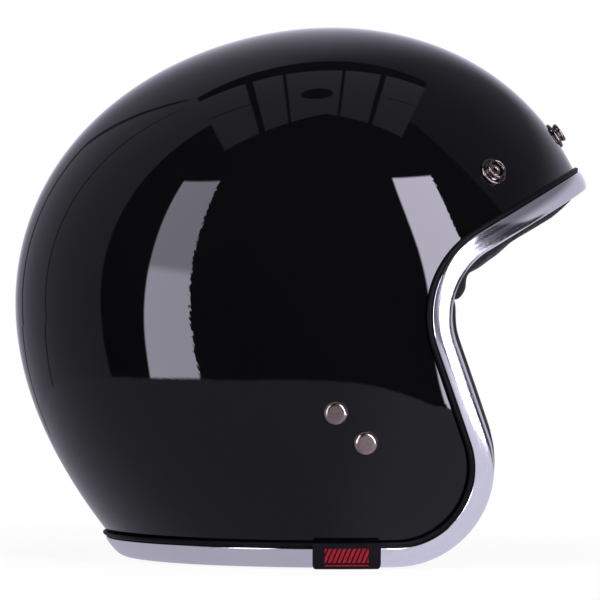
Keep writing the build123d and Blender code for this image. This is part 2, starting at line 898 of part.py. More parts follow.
def make_keeper_stud():
    base = strap_floor + strap_thickness
    post_top = base + fold_height - keeper_base_height
    return Pos(strap_x, keeper_y, base) * turned([
        (0, 0), (keeper_base_radius, 0), (keeper_base_radius, keeper_base_height),
        (keeper_post_radius, keeper_base_height), (keeper_post_radius, post_top - base),
        (0, post_top - base),
    ])


def make_keeper_cap():
    # Socket below the strap, neck through it, and a domed cap above
    low = keeper_base_height + keeper_post_gap
    under = fold_height
    roof = under - keeper_neck_gap
    ceiling = under - keeper_base_height + keeper_roof_gap
    inner = keeper_post_radius + keeper_post_gap
    over = under + strap_thickness + keeper_neck_gap
    profile = Polyline(
        (inner, low), (keeper_cap_radius, low), (keeper_cap_radius, roof),
        (keeper_neck_radius, roof), (keeper_neck_radius, over), (keeper_cap_radius, over),
        (keeper_cap_radius, over + keeper_cap_edge),
        (keeper_cap_flat_radius, over + keeper_cap_height),
        (0, over + keeper_cap_height), (0, ceiling), (inner, ceiling), close=True,
    )
    cap = revolve(Plane.XZ * make_face(profile), Axis.Z)
    return Pos(strap_x, keeper_y, strap_floor + strap_thickness) * cap


def make_ring(bar_z):
    # A D of round wire: the straight bar in the strap's loop, the bow towards the middle
    reach = strap_width / 2 + ring_clear + ring_wire / 2
    corner = ring_corner
    bow = ThreePointArc((reach, -ring_leg), (0, -ring_leg - reach), (-reach, -ring_leg))
    edges = [
        Line((-reach + corner, 0), (reach - corner, 0)),
        ThreePointArc(
            (reach - corner, 0), around(reach - corner, -corner, corner, 45), (reach, -corner)
        ),
        Line((reach, -corner), (reach, -ring_leg)),
        bow,
        Line((-reach, -ring_leg), (-reach, -corner)),
        ThreePointArc(
            (-reach, -corner), around(-reach + corner, -corner, corner, 135), (-reach + corner, 0)
        ),
    ]
    loop = Wire([edge.edge() for edge in edges])
    start = Plane(origin=(-reach + corner, 0, 0), z_dir=(1, 0, 0))
    ring = sweep(start * Circle(ring_wire / 2), path=loop)
    return Pos(strap_x, ring_bar_y, bar_z) * Rot(ring_tilt, 0, 0) * ring


def write(name, shape):
    export_step(shape, f"parts/{name}.step")


def main():
    os.makedirs("parts", exist_ok=True)
    rivet_planes = [on_shell(x, z, side) for side in (-1, 1) for x, z in rivet_places()]
    snap_planes = [on_shell(*place) for place in snap_places()]
    depth = 2 * (shell_wall + overrun)
    holes = [plane.location * Cylinder(rivet_hole_radius, depth) for plane in rivet_planes]
    holes += [plane.location * Cylinder(snap_hole_radius, depth) for plane in snap_planes]
    write("outer_shell", make_outer_shell(holes))
    write("trim_rubber", rim_ring(rubber_profile()))
    write("trim_chrome", rim_ring(strip_profile()))
    write("side_tag", make_side_tag())
    write("foam_liner", make_foam_liner())
    write("crown_liner", make_crown_liner())
    write("brow_pad", make_brow_pad())
    write("neck_pad", make_neck_pad())

    def write_pair(name, left):
        write(f"{name}_left", left)
        write(f"{name}_right", mirror(left, about=Plane.XZ))

    write_pair("cheek_pad", make_cheek_pad())
    write_pair("cheek_board", make_cheek_board())
    write_pair("anchor_plate", make_anchor_plate())
    write_pair("strap_root", make_strap_root())
    write("strap_rivets", Compound([plane.location * make_rivet() for plane in rivet_planes]))
    washer = Pos(0, 0, -plate_inner - seat_gap - rivet_washer_thickness) * ring_washer(
        rivet_washer_radius, rivet_hole_radius, rivet_washer_thickness
    )
    write("rivet_washers", Compound([plane.location * washer for plane in rivet_planes]))
    write("snap_studs", Compound([plane.location * make_snap_stud() for plane in snap_planes]))
    write("snap_eyelets", Compound([plane.location * make_snap_eyelet() for plane in snap_planes]))
    washer = Pos(0, 0, -shell_wall - seat_gap - snap_washer_thickness) * ring_washer(
        snap_washer_radius, snap_hole_radius, snap_washer_thickness
    )
    write("snap_washers", Compound([plane.location * washer for plane in snap_planes]))
    stud_planes = board_stud_planes(-1) + board_stud_planes(1)
    write("board_studs", Compound([plane.location * make_board_stud() for plane in stud_planes]))
    write("strap_left", make_short_strap())
    write("strap_right", make_long_strap())
    write("strap_right_end", make_folded_end())
    write("d_ring_lower", make_ring(lower_bar_z))
    write("d_ring_upper", make_ring(upper_bar_z))
    write("keeper_stud", make_keeper_stud())
    write("keeper_cap", make_keeper_cap())
    print("strap fold at the edge:", round(hinge_y, 3), round(strap_mid_z, 3), round(strap_x, 3))
    print("ring bars:", round(ring_bar_y, 3), round(lower_bar_z, 3), round(upper_bar_z, 3))
    print("end fold:", round(end_pivot_y, 3), round(fold_upper_z + strap_thickness / 2, 3))
    for place in snap_places():
        plane = on_shell(*place)
        middle = (snap_waist_top + snap_stud_height) / 2
        stud = plane.origin + plane.z_dir * middle
        print("snap:", [round(v, 4) for v in stud], [round(v, 5) for v in plane.z_dir])


main()
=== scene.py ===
import json
import math

import bmesh
import bpy
from mathutils import Matrix, Vector

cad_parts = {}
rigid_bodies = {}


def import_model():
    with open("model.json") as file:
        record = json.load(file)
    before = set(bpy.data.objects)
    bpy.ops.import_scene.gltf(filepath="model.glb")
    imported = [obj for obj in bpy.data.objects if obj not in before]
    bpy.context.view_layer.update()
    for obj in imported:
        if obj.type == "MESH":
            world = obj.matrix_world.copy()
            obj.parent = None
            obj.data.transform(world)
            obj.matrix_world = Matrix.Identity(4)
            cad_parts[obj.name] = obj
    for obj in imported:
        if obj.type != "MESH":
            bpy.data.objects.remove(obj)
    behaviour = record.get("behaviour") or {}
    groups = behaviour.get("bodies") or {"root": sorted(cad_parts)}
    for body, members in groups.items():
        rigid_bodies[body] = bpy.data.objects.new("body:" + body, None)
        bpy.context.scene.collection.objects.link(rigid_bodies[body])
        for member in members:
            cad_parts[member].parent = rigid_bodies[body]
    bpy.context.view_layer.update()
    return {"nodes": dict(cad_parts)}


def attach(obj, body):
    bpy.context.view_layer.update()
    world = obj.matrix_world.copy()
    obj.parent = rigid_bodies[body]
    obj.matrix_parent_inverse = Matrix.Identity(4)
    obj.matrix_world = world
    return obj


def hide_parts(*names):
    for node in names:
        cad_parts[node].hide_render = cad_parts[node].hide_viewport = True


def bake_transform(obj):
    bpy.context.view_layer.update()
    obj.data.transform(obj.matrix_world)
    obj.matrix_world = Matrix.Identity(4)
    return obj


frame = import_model()
nodes = frame["nodes"]
scene = bpy.context.scene
mm = 0.001
print("frame loaded,", len(nodes), "nodes")

# The shell: a radius in every direction from one middle point, made oval by shares of it
shell = {
    "radius": 146.5 * mm,
    "halfWidth": 116 * mm,
    "wall": 4 * mm,
    "middle": Vector((8.55 * mm, 0, 105 * mm)),
    "edgeZ": 2.9 * mm,
    "ovalShare": -0.042,
    "leanShare": -0.020,
    "browShare": -0.027,
    "crownShare": 0.029,
    "lowSideShare": -0.095,
    "bellyShare": 0.061,
    "templeShare": 0.014,
    "detail": 7,  # icosphere subdivisions
}
# Its edge in the side view: straight brow, round eye port, round jaw, flat bottom
edge = {
    "browAngle": 31.0,
    "eyeX": shell["middle"].x + 95.4 * mm,
    "eyeZ": shell["middle"].z + 10.4 * mm,
    "eyeRadius": 37 * mm,
    "jawX": shell["middle"].x + 35 * mm,
    "jawZ": shell["edgeZ"] + 43 * mm,
    "jawRadius": 43 * mm,
}


def turn(angle):
    return math.cos(math.radians(angle)), math.sin(math.radians(angle))


def around(x, z, radius, angle):
    level, rise = turn(angle)
    return x + radius * level, z + radius * rise


def radiusAlong(d):
    cos2, sin2 = d.x * d.x - d.z * d.z, 2 * d.x * d.z
    cos3, sin3 = d.x * cos2 - d.z * sin2, d.x * sin2 + d.z * cos2
    sideView = (shell["ovalShare"] * cos2 + shell["leanShare"] * sin2
                + shell["browShare"] * cos3 + shell["crownShare"] * sin3)
    side = (shell["lowSideShare"] * d.z + shell["bellyShare"] * d.z * d.z
            + shell["templeShare"] * (1 - d.y * d.y))
    oval = shell["radius"] * (1 + sideView + d.y * d.y * side)
    return oval + (shell["halfWidth"] - shell["radius"]) * d.y * d.y


def overshoot(p):
    offset = p - shell["middle"]
    return offset.length - radiusAlong(offset.normalized())


def slopeAt(p):
    h = 1e-5
    steps = [Vector((h, 0, 0)), Vector((0, h, 0)), Vector((0, 0, h))]
    return Vector([overshoot(p + s) - overshoot(p - s) for s in steps]) / (2 * h)


def halfWidthAt(x, z, inset):
    # Newton steps along Y to the face that lies inset below the shell's
    y = shell["halfWidth"]
    for _ in range(9):
        p = Vector((x, y, z))
        slope = slopeAt(p)
        y -= (overshoot(p) + inset * slope.length) / max(slope.y, 0.08)
        y = max(y, 0)
    return y


def onShell(x, z, side):
    # Origin and outward direction of the shell at a place of the side view
    p = Vector((x, side * halfWidthAt(x, z, 0), z))
    return p, slopeAt(p).normalized()


def lastInside(test, limit):
    low, high = 0, limit
    for _ in range(30):
        value = (low + high) / 2
        low, high = (value, high) if test(value) else (low, value)
    return low


def aboveShell(p):
    return overshoot(p) / slopeAt(p).length


def eyeGeometry(grow):
    eyeR, jawR = edge["eyeRadius"] + grow, edge["jawRadius"] - grow
    run, rise = edge["jawX"] - edge["eyeX"], edge["jawZ"] - edge["eyeZ"]
    tangent = math.degrees(math.atan2(rise, run)
                           + math.acos(-(eyeR + jawR) / math.hypot(run, rise)))
    return eyeR, jawR, (tangent + 180) % 360 - 180


def edgePlace(segment, share, grow, inset):
    # A point of the left side's edge, moved into the shell by grow and inwards by inset
    eyeR, jawR, tangent = eyeGeometry(grow)
    brow = edge["browAngle"]
    start = around(edge["eyeX"], edge["eyeZ"], eyeR, brow + 90)
    onMiddle = False
    if segment == "brow":
        full = lastInside(
            lambda t: aboveShell(Vector((around(*start, t, brow)[0], 0,
                                         around(*start, t, brow)[1]))) + inset < 0, 0.4)
        x, z = around(*start, full * (1 - share**2), brow)
        onMiddle = share == 0
    elif segment == "eye":
        x, z = around(edge["eyeX"], edge["eyeZ"], eyeR, brow + 90 + share * (90 + tangent - brow))
    elif segment == "line":
        a = Vector(around(edge["eyeX"], edge["eyeZ"], eyeR, 180 + tangent))
        b = Vector(around(edge["jawX"], edge["jawZ"], jawR, tangent))
        x, z = a.lerp(b, share)
    elif segment == "jaw":
        x, z = around(edge["jawX"], edge["jawZ"], jawR, tangent - share * (tangent + 90))
    else:
        x, z = around(edge["jawX"], edge["jawZ"], jawR, -90)
        full = lastInside(lambda t: aboveShell(Vector((x - t, 0, z))) + inset < 0, 0.4)
        x -= full * (1 - (1 - share) ** 2)
        onMiddle = share == 1
    return Vector((x, 0 if onMiddle else halfWidthAt(x, z, inset), z))


def finishPiece(bm, name, material, body, stands=(), sharp=35):
    # The bmesh becomes a smooth-shaded object that rides on its body
    mesh = bpy.data.meshes.new(name)
    bm.to_mesh(mesh)
    bm.free()
    mesh.shade_smooth()
    mesh.set_sharp_from_angle(angle=math.radians(sharp))
    piece = bpy.data.objects.new(name, mesh)
    scene.collection.objects.link(piece)
    mesh.materials.append(material)
    if body:
        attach(piece, body)
    if stands:
        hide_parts(*stands)
    return piece


def bakeModifiers(piece):
    shape = bpy.data.meshes.new_from_object(
        piece.evaluated_get(bpy.context.evaluated_depsgraph_get()))
    piece.modifiers.clear()
    piece.data = shape


def gridShape(across, along, place, size, closed=True):
    # A grid whose points are moved by place(u, v); its UV map is in metres
    bm = bmesh.new()
    uv = bm.loops.layers.uv.new("UVMap")
    bmesh.ops.create_grid(bm, x_segments=along, y_segments=across, size=1, calc_uvs=True)
    for face in bm.faces:
        for loop in face.loops:
            loop[uv].uv = (loop[uv].uv.x * size[0], loop[uv].uv.y * size[1])
    for vert in bm.verts:
        vert.co = place((vert.co.x + 1) / 2, (vert.co.y + 1) / 2)
    if closed:
        bmesh.ops.remove_doubles(bm, verts=bm.verts, dist=0.01 * mm)
    bmesh.ops.recalc_face_normals(bm, faces=bm.faces)
    return bm


def smoothPath(points, steps):
    # Points of a round curve through the given ones
    padded = [points[0] * 2 - points[1]] + points + [points[-1] * 2 - points[-2]]
    curve = []
    for a, b, c, d in zip(padded, padded[1:], padded[2:], padded[3:]):
        for i in range(steps):
            t = i / steps
            curve.append((2 * b + (c - a) * t + (2 * a - 5 * b + 4 * c - d) * t * t
                          + (3 * b - a - 3 * c + d) * t**3) / 2)
    return curve + [points[-1]]


def rounded(points, radius, steps=3, closed=False):
    # A profile whose corners are cut round
    result = []
    for i, p in enumerate(points):
        if not closed and i in (0, len(points) - 1):
            result.append(p)
            continue
        before, after = points[i - 1], points[(i + 1) % len(points)]
        cut = min(radius, (p - before).length * 0.45, (after - p).length * 0.45)
        a, b = p + (before - p).normalized() * cut, p + (after - p).normalized() * cut
        for s in range(steps + 1):
            t = s / steps
            result.append(a * (1 - t) ** 2 + p * 2 * t * (1 - t) + b * t * t)
    return result


def spunShape(profile, matrices, steps=56):
    # Profile places of (radius, height) in millimetres, spun and set at each matrix
    bm = bmesh.new()
    for matrix in matrices:
        turned = bmesh.new()
        ring = [turned.verts.new((p.x * mm, 0, p.y * mm)) for p in profile]
        edges = [turned.edges.new(pair) for pair in zip(ring, ring[1:])]
        bmesh.ops.spin(turned, geom=ring + edges, cent=(0, 0, 0), axis=(0, 0, 1),
                       angle=math.tau, steps=steps, use_merge=True)
        bmesh.ops.remove_doubles(turned, verts=turned.verts, dist=0.002 * mm)
        bmesh.ops.recalc_face_normals(turned, faces=turned.faces)
        turned.transform(matrix)
        part = bpy.data.meshes.new("turnedPart")
        turned.to_mesh(part)
        turned.free()
        bm.from_mesh(part)
        bpy.data.meshes.remove(part)
    return bm


def makeTurned(name, profile, corner, matrices, finish, body, node, steps=56):
    # A turned piece from (radius, height) pairs in millimetres, with its corners cut round
    bm = spunShape(rounded([Vector(p) for p in profile], corner), matrices, steps)
    finishPiece(bm, name, finishes[finish], body, [node], 40)


def planeAt(origin, direction):
    return Matrix.Translation(origin) @ direction.to_track_quat("Z", "Y").to_matrix().to_4x4()


# Node groups that several finishes share


def newGroup(name, inputs, outputs):
    group = bpy.data.node_groups.new(name, "ShaderNodeTree")
    for label, kind, value in inputs:
        socket = group.interface.new_socket(name=label, in_out="INPUT", socket_type=kind)
        if value is not None:
            socket.default_value = value
    for label, kind in outputs:
        group.interface.new_socket(name=label, in_out="OUTPUT", socket_type=kind)
    return group, group.nodes.new("NodeGroupInput"), group.nodes.new("NodeGroupOutput")


def addNode(tree, kind, links=None, **settings):
    # Settings by name; links maps an input to a value or to another node's output
    node = tree.nodes.new(kind)
    for name, value in settings.items():
        setattr(node, name, value)
    for key, value in (links or {}).items():
        if isinstance(value, bpy.types.NodeSocket):
            tree.links.new(value, node.inputs[key])
        else:
            node.inputs[key].default_value = value
    return node


def mathNode(tree, operation, a, b=0.0):
    return addNode(tree, "ShaderNodeMath", {0: a, 1: b}, operation=operation).outputs[0]


def makeGrainGroup():
    # Even noise between two values, with its height for a bump
    tree, given, result = newGroup(
        "surfaceGrain",
        [("Vector", "NodeSocketVector", None), ("Scale", "NodeSocketFloat", 200.0),
         ("Low", "NodeSocketFloat", 0.0), ("High", "NodeSocketFloat", 1.0)],
        [("Value", "NodeSocketFloat"), ("Height", "NodeSocketFloat")])
    grain = addNode(tree, "ShaderNodeTexNoise", {
        "Vector": given.outputs["Vector"], "Scale": given.outputs["Scale"], "Detail": 4.0})
    spread = addNode(tree, "ShaderNodeMapRange", {
        0: grain.outputs["Fac"], 1: 0.3, 2: 0.7,
        3: given.outputs["Low"], 4: given.outputs["High"]})
    tree.links.new(spread.outputs[0], result.inputs["Value"])
    tree.links.new(grain.outputs["Fac"], result.inputs["Height"])
    return tree


def makeWeaveGroup():
    # Plain weave: over and under threads as a height, and a mask that tells them apart
    tree, given, result = newGroup(
        "threadWeave",
        [("Vector", "NodeSocketVector", None), ("Along", "NodeSocketFloat", 1000.0),
         ("Across", "NodeSocketFloat", 1000.0)],
        [("Height", "NodeSocketFloat"), ("Over", "NodeSocketFloat")])
    split = addNode(tree, "ShaderNodeSeparateXYZ", {0: given.outputs["Vector"]})
    x = mathNode(tree, "MULTIPLY", split.outputs[0], given.outputs["Along"])
    y = mathNode(tree, "MULTIPLY", split.outputs[1], given.outputs["Across"])
    waves = [mathNode(tree, "SINE", mathNode(tree, "MULTIPLY", mathNode(tree, "FRACT", side),
                                             math.pi)) for side in (x, y)]
    cell = mathNode(tree, "ADD", mathNode(tree, "FLOOR", x), mathNode(tree, "FLOOR", y))
    over = mathNode(tree, "PINGPONG", cell, 1.0)
    height = addNode(tree, "ShaderNodeMix", {0: over, 2: waves[0], 3: waves[1]})
    tree.links.new(height.outputs[0], result.inputs["Height"])
    tree.links.new(over, result.inputs["Over"])
    return tree


def makeWearGroup():
    # Faint hairlines and rubbed spots, as a mask from 0 to 1
    tree, given, result = newGroup(
        "handlingWear",
        [("Vector", "NodeSocketVector", None), ("Scale", "NodeSocketFloat", 60.0),
         ("Amount", "NodeSocketFloat", 0.5)],
        [("Mask", "NodeSocketFloat")])
    stretch = addNode(tree, "ShaderNodeMapping", {
        "Vector": given.outputs["Vector"], "Scale": (1.0, 7.0, 3.0)})
    lines = addNode(tree, "ShaderNodeTexNoise", {
        "Vector": stretch.outputs[0], "Scale": given.outputs["Scale"], "Detail": 6.0,
        "Roughness": 0.7})
    spots = addNode(tree, "ShaderNodeTexNoise", {
        "Vector": given.outputs["Vector"], "Scale": 24.0, "Detail": 2.0})
    both = mathNode(tree, "MULTIPLY", lines.outputs["Fac"], spots.outputs["Fac"])
    raised = addNode(tree, "ShaderNodeMapRange", {
        0: both, 1: 0.2, 2: 0.5, 3: 0.0, 4: given.outputs["Amount"]})
    tree.links.new(raised.outputs[0], result.inputs["Mask"])
    return tree


groups = {"grain": makeGrainGroup(), "weave": makeWeaveGroup(), "wear": makeWearGroup()}


def newFinish(name, **values):
    # A material with its constants on the shader's own sockets
    material = bpy.data.materials.new(name)
    material.use_nodes = True
    shader = material.node_tree.nodes["Principled BSDF"]
    labels = {"baseColor": "Base Color", "roughness": "Roughness", "metallic": "Metallic",
              "coatWeight": "Coat Weight", "coatRoughness": "Coat Roughness",
              "coatIor": "Coat IOR", "specular": "Specular IOR Level",
              "sheenWeight": "Sheen Weight", "sheenRoughness": "Sheen Roughness"}
    for key, value in values.items():
        shader.inputs[labels[key]].default_value = (*value, 1) if key == "baseColor" else value
    return material, material.node_tree, shader


def shared(tree, name, vector, **values):
    node = addNode(tree, "ShaderNodeGroup", node_tree=groups[name])
    tree.links.new(vector, node.inputs["Vector"])
    for key, value in values.items():
        node.inputs[key.capitalize()].default_value = value
    return node


def objectPlace(tree):
    return addNode(tree, "ShaderNodeTexCoord").outputs["Object"]


def uvPlace(tree):
    return addNode(tree, "ShaderNodeUVMap", uv_map="UVMap").outputs[0]


def bump(tree, shader, height, depth):
    node = addNode(tree, "ShaderNodeBump", {"Strength": 1.0, "Distance": depth, "Height": height})
    tree.links.new(node.outputs[0], shader.inputs["Normal"])
    return node.outputs[0]


def twoColors(tree, mask, low, high):
    mix = addNode(tree, "ShaderNodeMix", data_type="RGBA")
    tree.links.new(mask, mix.inputs[0])
    mix.inputs[6].default_value = (*low, 1)
    mix.inputs[7].default_value = (*high, 1)
    return mix.outputs[2]


def makeLacquer():
    # Deep black lacquer: a clear coat with a faint orange peel over satin black
    material, tree, shader = newFinish(
        "blackLacquer", baseColor=(0.0015, 0.0015, 0.0016), roughness=0.5, specular=0.0,
        coatWeight=1.0, coatRoughness=0.008, coatIor=1.35)
    place = objectPlace(tree)
    peel = shared(tree, "grain", place, scale=60.0, low=0.0, high=1.0)
    uneven = bump(tree, shader, peel.outputs["Height"], 0.004 * mm)
    tree.links.new(uneven, shader.inputs["Coat Normal"])
    wear = shared(tree, "wear", place, scale=90.0, amount=0.3)
    tree.links.new(twoColors(tree, wear.outputs["Mask"], (0.0014, 0.0014, 0.0015),
                             (0.003, 0.003, 0.0032)), shader.inputs["Base Color"])
    return material


def makeBrightTrim():
    # Bright strip: polished along its length, with faint drawn lines
    material, tree, shader = newFinish(
        "brightTrim", baseColor=(0.76, 0.78, 0.8), roughness=0.17, metallic=1.0)
    lines = addNode(tree, "ShaderNodeMapping", {
        "Vector": uvPlace(tree), "Scale": (14.0, 900.0, 1.0)})
    drawn = shared(tree, "grain", lines.outputs[0], scale=1.0, low=0.09, high=0.2)
    tree.links.new(drawn.outputs["Value"], shader.inputs["Roughness"])
    bump(tree, shader, drawn.outputs["Height"], 0.006 * mm)
    wear = shared(tree, "wear", objectPlace(tree), scale=70.0, amount=0.6)
    tree.links.new(twoColors(tree, wear.outputs["Mask"], (0.77, 0.79, 0.81), (0.66, 0.68, 0.71)),
                   shader.inputs["Base Color"])
    return material


def makeRubber():
    material, tree, shader = newFinish(
        "trimRubber", baseColor=(0.003, 0.003, 0.0035), roughness=0.45, specular=0.06)
    place = objectPlace(tree)
    grain = shared(tree, "grain", place, scale=900.0, low=0.38, high=0.58)
    tree.links.new(grain.outputs["Value"], shader.inputs["Roughness"])
    bump(tree, shader, grain.outputs["Height"], 0.03 * mm)
    wear = shared(tree, "wear", place, scale=50.0, amount=0.7)
    tree.links.new(twoColors(tree, wear.outputs["Mask"], (0.002, 0.002, 0.0025),
                             (0.006, 0.006, 0.0065)), shader.inputs["Base Color"])
    return material


def makePlatedMetal(name, light, dark, roughness):
    # Plated small parts: tiny pits, hairlines, darker where they are handled
    material, tree, shader = newFinish(name, baseColor=light, roughness=roughness, metallic=1.0)
    place = objectPlace(tree)
    grain = shared(tree, "grain", place, scale=1400.0, low=roughness * 0.7,
                   high=roughness * 1.5)
    tree.links.new(grain.outputs["Value"], shader.inputs["Roughness"])
    bump(tree, shader, grain.outputs["Height"], 0.008 * mm)
    wear = shared(tree, "wear", place, scale=300.0, amount=0.8)
    tree.links.new(twoColors(tree, wear.outputs["Mask"], light, dark),
                   shader.inputs["Base Color"])
    return material


def makeKnit(name, low, high, threads, sheen):
    # Soft knit over foam: small loops in two directions, with a light nap, and painted shade in
    # the gaps between the loops
    material, tree, shader = newFinish(
        name, baseColor=low, roughness=0.88, specular=0.1, sheenWeight=sheen,
        sheenRoughness=0.45)
    place = objectPlace(tree)
    loops = addNode(tree, "ShaderNodeTexVoronoi", {
        "Vector": addNode(tree, "ShaderNodeMapping", {
            "Vector": place, "Scale": (1.0, 1.0, 0.62)}).outputs[0], "Scale": threads})
    nap = shared(tree, "grain", place, scale=threads * 0.16, low=0.0, high=1.0)
    height = mathNode(tree, "ADD", mathNode(tree, "MULTIPLY", loops.outputs["Distance"], -1.0),
                      nap.outputs["Height"])
    bump(tree, shader, height, 0.22 * mm)
    # Painted shade: darker in the gaps between the loops and lighter on their tops, varied at
    # random by the nap
    mask = mathNode(tree, "MULTIPLY", loops.outputs["Distance"], nap.outputs["Value"])
    tree.links.new(twoColors(tree, mask, high, low), shader.inputs["Base Color"])
    return material


def makeWebbing():
    # Nylon webbing: ribs across, finer threads along, lighter on the thread tops with painted
    # shade between the threads
    material, tree, shader = newFinish(
        "blackWebbing", baseColor=(0.012, 0.012, 0.012), roughness=0.62, specular=0.35,
        sheenWeight=0.12, sheenRoughness=0.4)
    weave = shared(tree, "weave", uvPlace(tree), along=620.0, across=900.0)
    grain = shared(tree, "grain", objectPlace(tree), scale=260.0, low=0.0, high=0.6)
    # Painted shade: darker between the threads and lighter on their tops, scaled by random grain
    mask = mathNode(tree, "MULTIPLY", weave.outputs["Height"], grain.outputs["Value"])
    tree.links.new(twoColors(tree, mask, (0.006, 0.006, 0.006), (0.028, 0.028, 0.029)),
                   shader.inputs["Base Color"])
    bump(tree, shader, weave.outputs["Height"], 0.22 * mm)
    return material


def makeTagCloth():
    # Fine woven label: black ground, a band of slanted stripes and a thin plain band
    material, tree, shader = newFinish(
        "labelCloth", baseColor=(0.004, 0.004, 0.004), roughness=0.75, specular=0.07)
    place = uvPlace(tree)
    weave = shared(tree, "weave", place, along=2300.0, across=2300.0)
    split = addNode(tree, "ShaderNodeSeparateXYZ", {0: place})
    bands = None
    for label in tag["bands"]:
        inside = []
        for axis, (low, high) in enumerate((label["wide"], label["tall"])):
            middle, half = (low + high) / 2, (high - low) / 2
            away = mathNode(tree, "ABSOLUTE",
                            mathNode(tree, "SUBTRACT", split.outputs[axis], middle))
            inside.append(mathNode(tree, "LESS_THAN", away, half))
        band = mathNode(tree, "MULTIPLY", *inside)
        if label["stripe"]:
            slant = mathNode(tree, "MULTIPLY_ADD", split.outputs[1], 0.5)
            tree.links.new(split.outputs[0], slant.node.inputs[2])
            run = mathNode(tree, "FRACT", mathNode(tree, "DIVIDE", slant, label["stripe"]))
            band = mathNode(tree, "MULTIPLY", band, mathNode(tree, "LESS_THAN", run, 0.62))
        bands = band if bands is None else mathNode(tree, "MAXIMUM", bands, band)
    # Painted shade: the ground and the red threads are darker where the threads dip and lighter on
    # their tops
    ground = twoColors(tree, weave.outputs["Height"], (0.002, 0.002, 0.002),
                       (0.007, 0.0068, 0.007))
    thread = twoColors(tree, weave.outputs["Height"], (0.12, 0.004, 0.008),
                       (0.34, 0.012, 0.024))
    mix = addNode(tree, "ShaderNodeMix", {0: bands, 6: ground, 7: thread}, data_type="RGBA")
    tree.links.new(mix.outputs[2], shader.inputs["Base Color"])
    height = mathNode(tree, "ADD", mathNode(tree, "MULTIPLY", bands, 0.8),
                      weave.outputs["Height"])
    bump(tree, shader, height, 0.12 * mm)
    return material


def makeBeadFoam():
    material, tree, shader = newFinish(
        "beadFoam", baseColor=(0.02, 0.02, 0.021), roughness=0.8, specular=0.3)
    place = objectPlace(tree)
    beads = addNode(tree, "ShaderNodeTexVoronoi", {"Vector": place, "Scale": 380.0})
    bump(tree, shader, mathNode(tree, "MULTIPLY", beads.outputs["Distance"], -1.0), 0.5 * mm)
    grain = shared(tree, "grain", place, scale=120.0, low=0.0, high=1.0)
    tree.links.new(twoColors(tree, grain.outputs["Value"], (0.014, 0.014, 0.015),
                             (0.03, 0.03, 0.031)), shader.inputs["Base Color"])
    return material


def makeBoardPlastic():
    material, tree, shader = newFinish(
        "boardPlastic", baseColor=(0.03, 0.03, 0.03), roughness=0.55)
    grain = shared(tree, "grain", objectPlace(tree), scale=500.0, low=0.45, high=0.7)
    tree.links.new(grain.outputs["Value"], shader.inputs["Roughness"])
    bump(tree, shader, grain.outputs["Height"], 0.05 * mm)
    return material


# The label folded over the trim; its bands are (from, to) across it and down from the bead
tag = {
    "width": 31 * mm,
    "thickness": 0.6 * mm,
    "gap": 0.2 * mm,
    "forward": 12.3 * mm,
    "columns": 44,
    "corner": 1.6 * mm,
    "bands": [
        {"wide": (5.6 * mm, 25.4 * mm), "tall": (2.6 * mm, 8.2 * mm), "stripe": 2.2 * mm},
        {"wide": (5.6 * mm, 25.4 * mm), "tall": (9.3 * mm, 10.2 * mm), "stripe": None},
    ],
}

finishes = {
    "lacquer": makeLacquer(),
    "bright": makeBrightTrim(),
    "rubber": makeRubber(),
    "nickel": makePlatedMetal("darkNickel", (0.3, 0.25, 0.22), (0.17, 0.14, 0.125), 0.18),
    "stud": makePlatedMetal("studNickel", (0.17, 0.145, 0.13), (0.1, 0.085, 0.075), 0.12),
    "steel": makePlatedMetal("zincPlate", (0.52, 0.52, 0.53), (0.4, 0.4, 0.41), 0.34),
    "ring": makePlatedMetal("ringPlate", (0.62, 0.62, 0.64), (0.5, 0.5, 0.52), 0.16),
    "knit": makeKnit("liningKnit", (0.004, 0.004, 0.0045), (0.013, 0.013, 0.014), 900.0, 0.06),
    "mesh": makeKnit("crownMesh", (0.004, 0.004, 0.0045), (0.018, 0.018, 0.019), 420.0, 0.06),
    "webbing": makeWebbing(),
    "label": makeTagCloth(),
    "foam": makeBeadFoam(),
    "board": makeBoardPlastic(),
    "cap": makeBoardPlastic(),
}
print("finishes made,", len(finishes))


def keptBySideView(p):
    # Behind and above the edge line, with a little of the wall left inside the trim
    spare = 1.2 * mm
    level, rise = turn(edge["browAngle"])
    start = around(edge["eyeX"], edge["eyeZ"], edge["eyeRadius"] + spare, edge["browAngle"] + 90)
    aboveBrow = (p.z - start[1]) * level - (p.x - start[0]) * rise > 0
    if p.z < shell["edgeZ"] + spare:
        return False
    if math.hypot(p.x - edge["eyeX"], p.z - edge["eyeZ"]) < edge["eyeRadius"] + spare:
        return False
    if aboveBrow:
        return True
    _, _, tangent = eyeGeometry(spare)
    a = around(edge["eyeX"], edge["eyeZ"], edge["eyeRadius"] + spare, 180 + tangent)
    b = around(edge["jawX"], edge["jawZ"], edge["jawRadius"] - spare, tangent)
    if p.x < min(a[0], edge["jawX"]):
        return True
    if p.z > a[1]:
        return p.x < start[0]
    if p.z > b[1]:
        share = (a[1] - p.z) / (a[1] - b[1])
        return p.x < a[0] + share * (b[0] - a[0])
    inJaw = math.hypot(p.x - edge["jawX"], p.z - edge["jawZ"]) < edge["jawRadius"] - spare
    return inJaw or p.x < edge["jawX"]


def makeShell():
    # A fine sphere moved onto the shell's form, cut by the side view, then given its wall
    bm = bmesh.new()
    bmesh.ops.create_icosphere(bm, subdivisions=shell["detail"], radius=1)
    for vert in bm.verts:
        d = vert.co.normalized()
        vert.co = shell["middle"] + d * radiusAlong(d)
    hidden = [f for f in bm.faces if not keptBySideView(f.calc_center_median())]
    bmesh.ops.delete(bm, geom=hidden, context="FACES")
    bmesh.ops.recalc_face_normals(bm, faces=bm.faces)
    bmesh.ops.solidify(bm, geom=bm.faces, thickness=shell["wall"])
    finishPiece(bm, "outerShell", finishes["lacquer"], "helmet",
                ["outer_shell"], 40)


makeShell()
print("shell made")

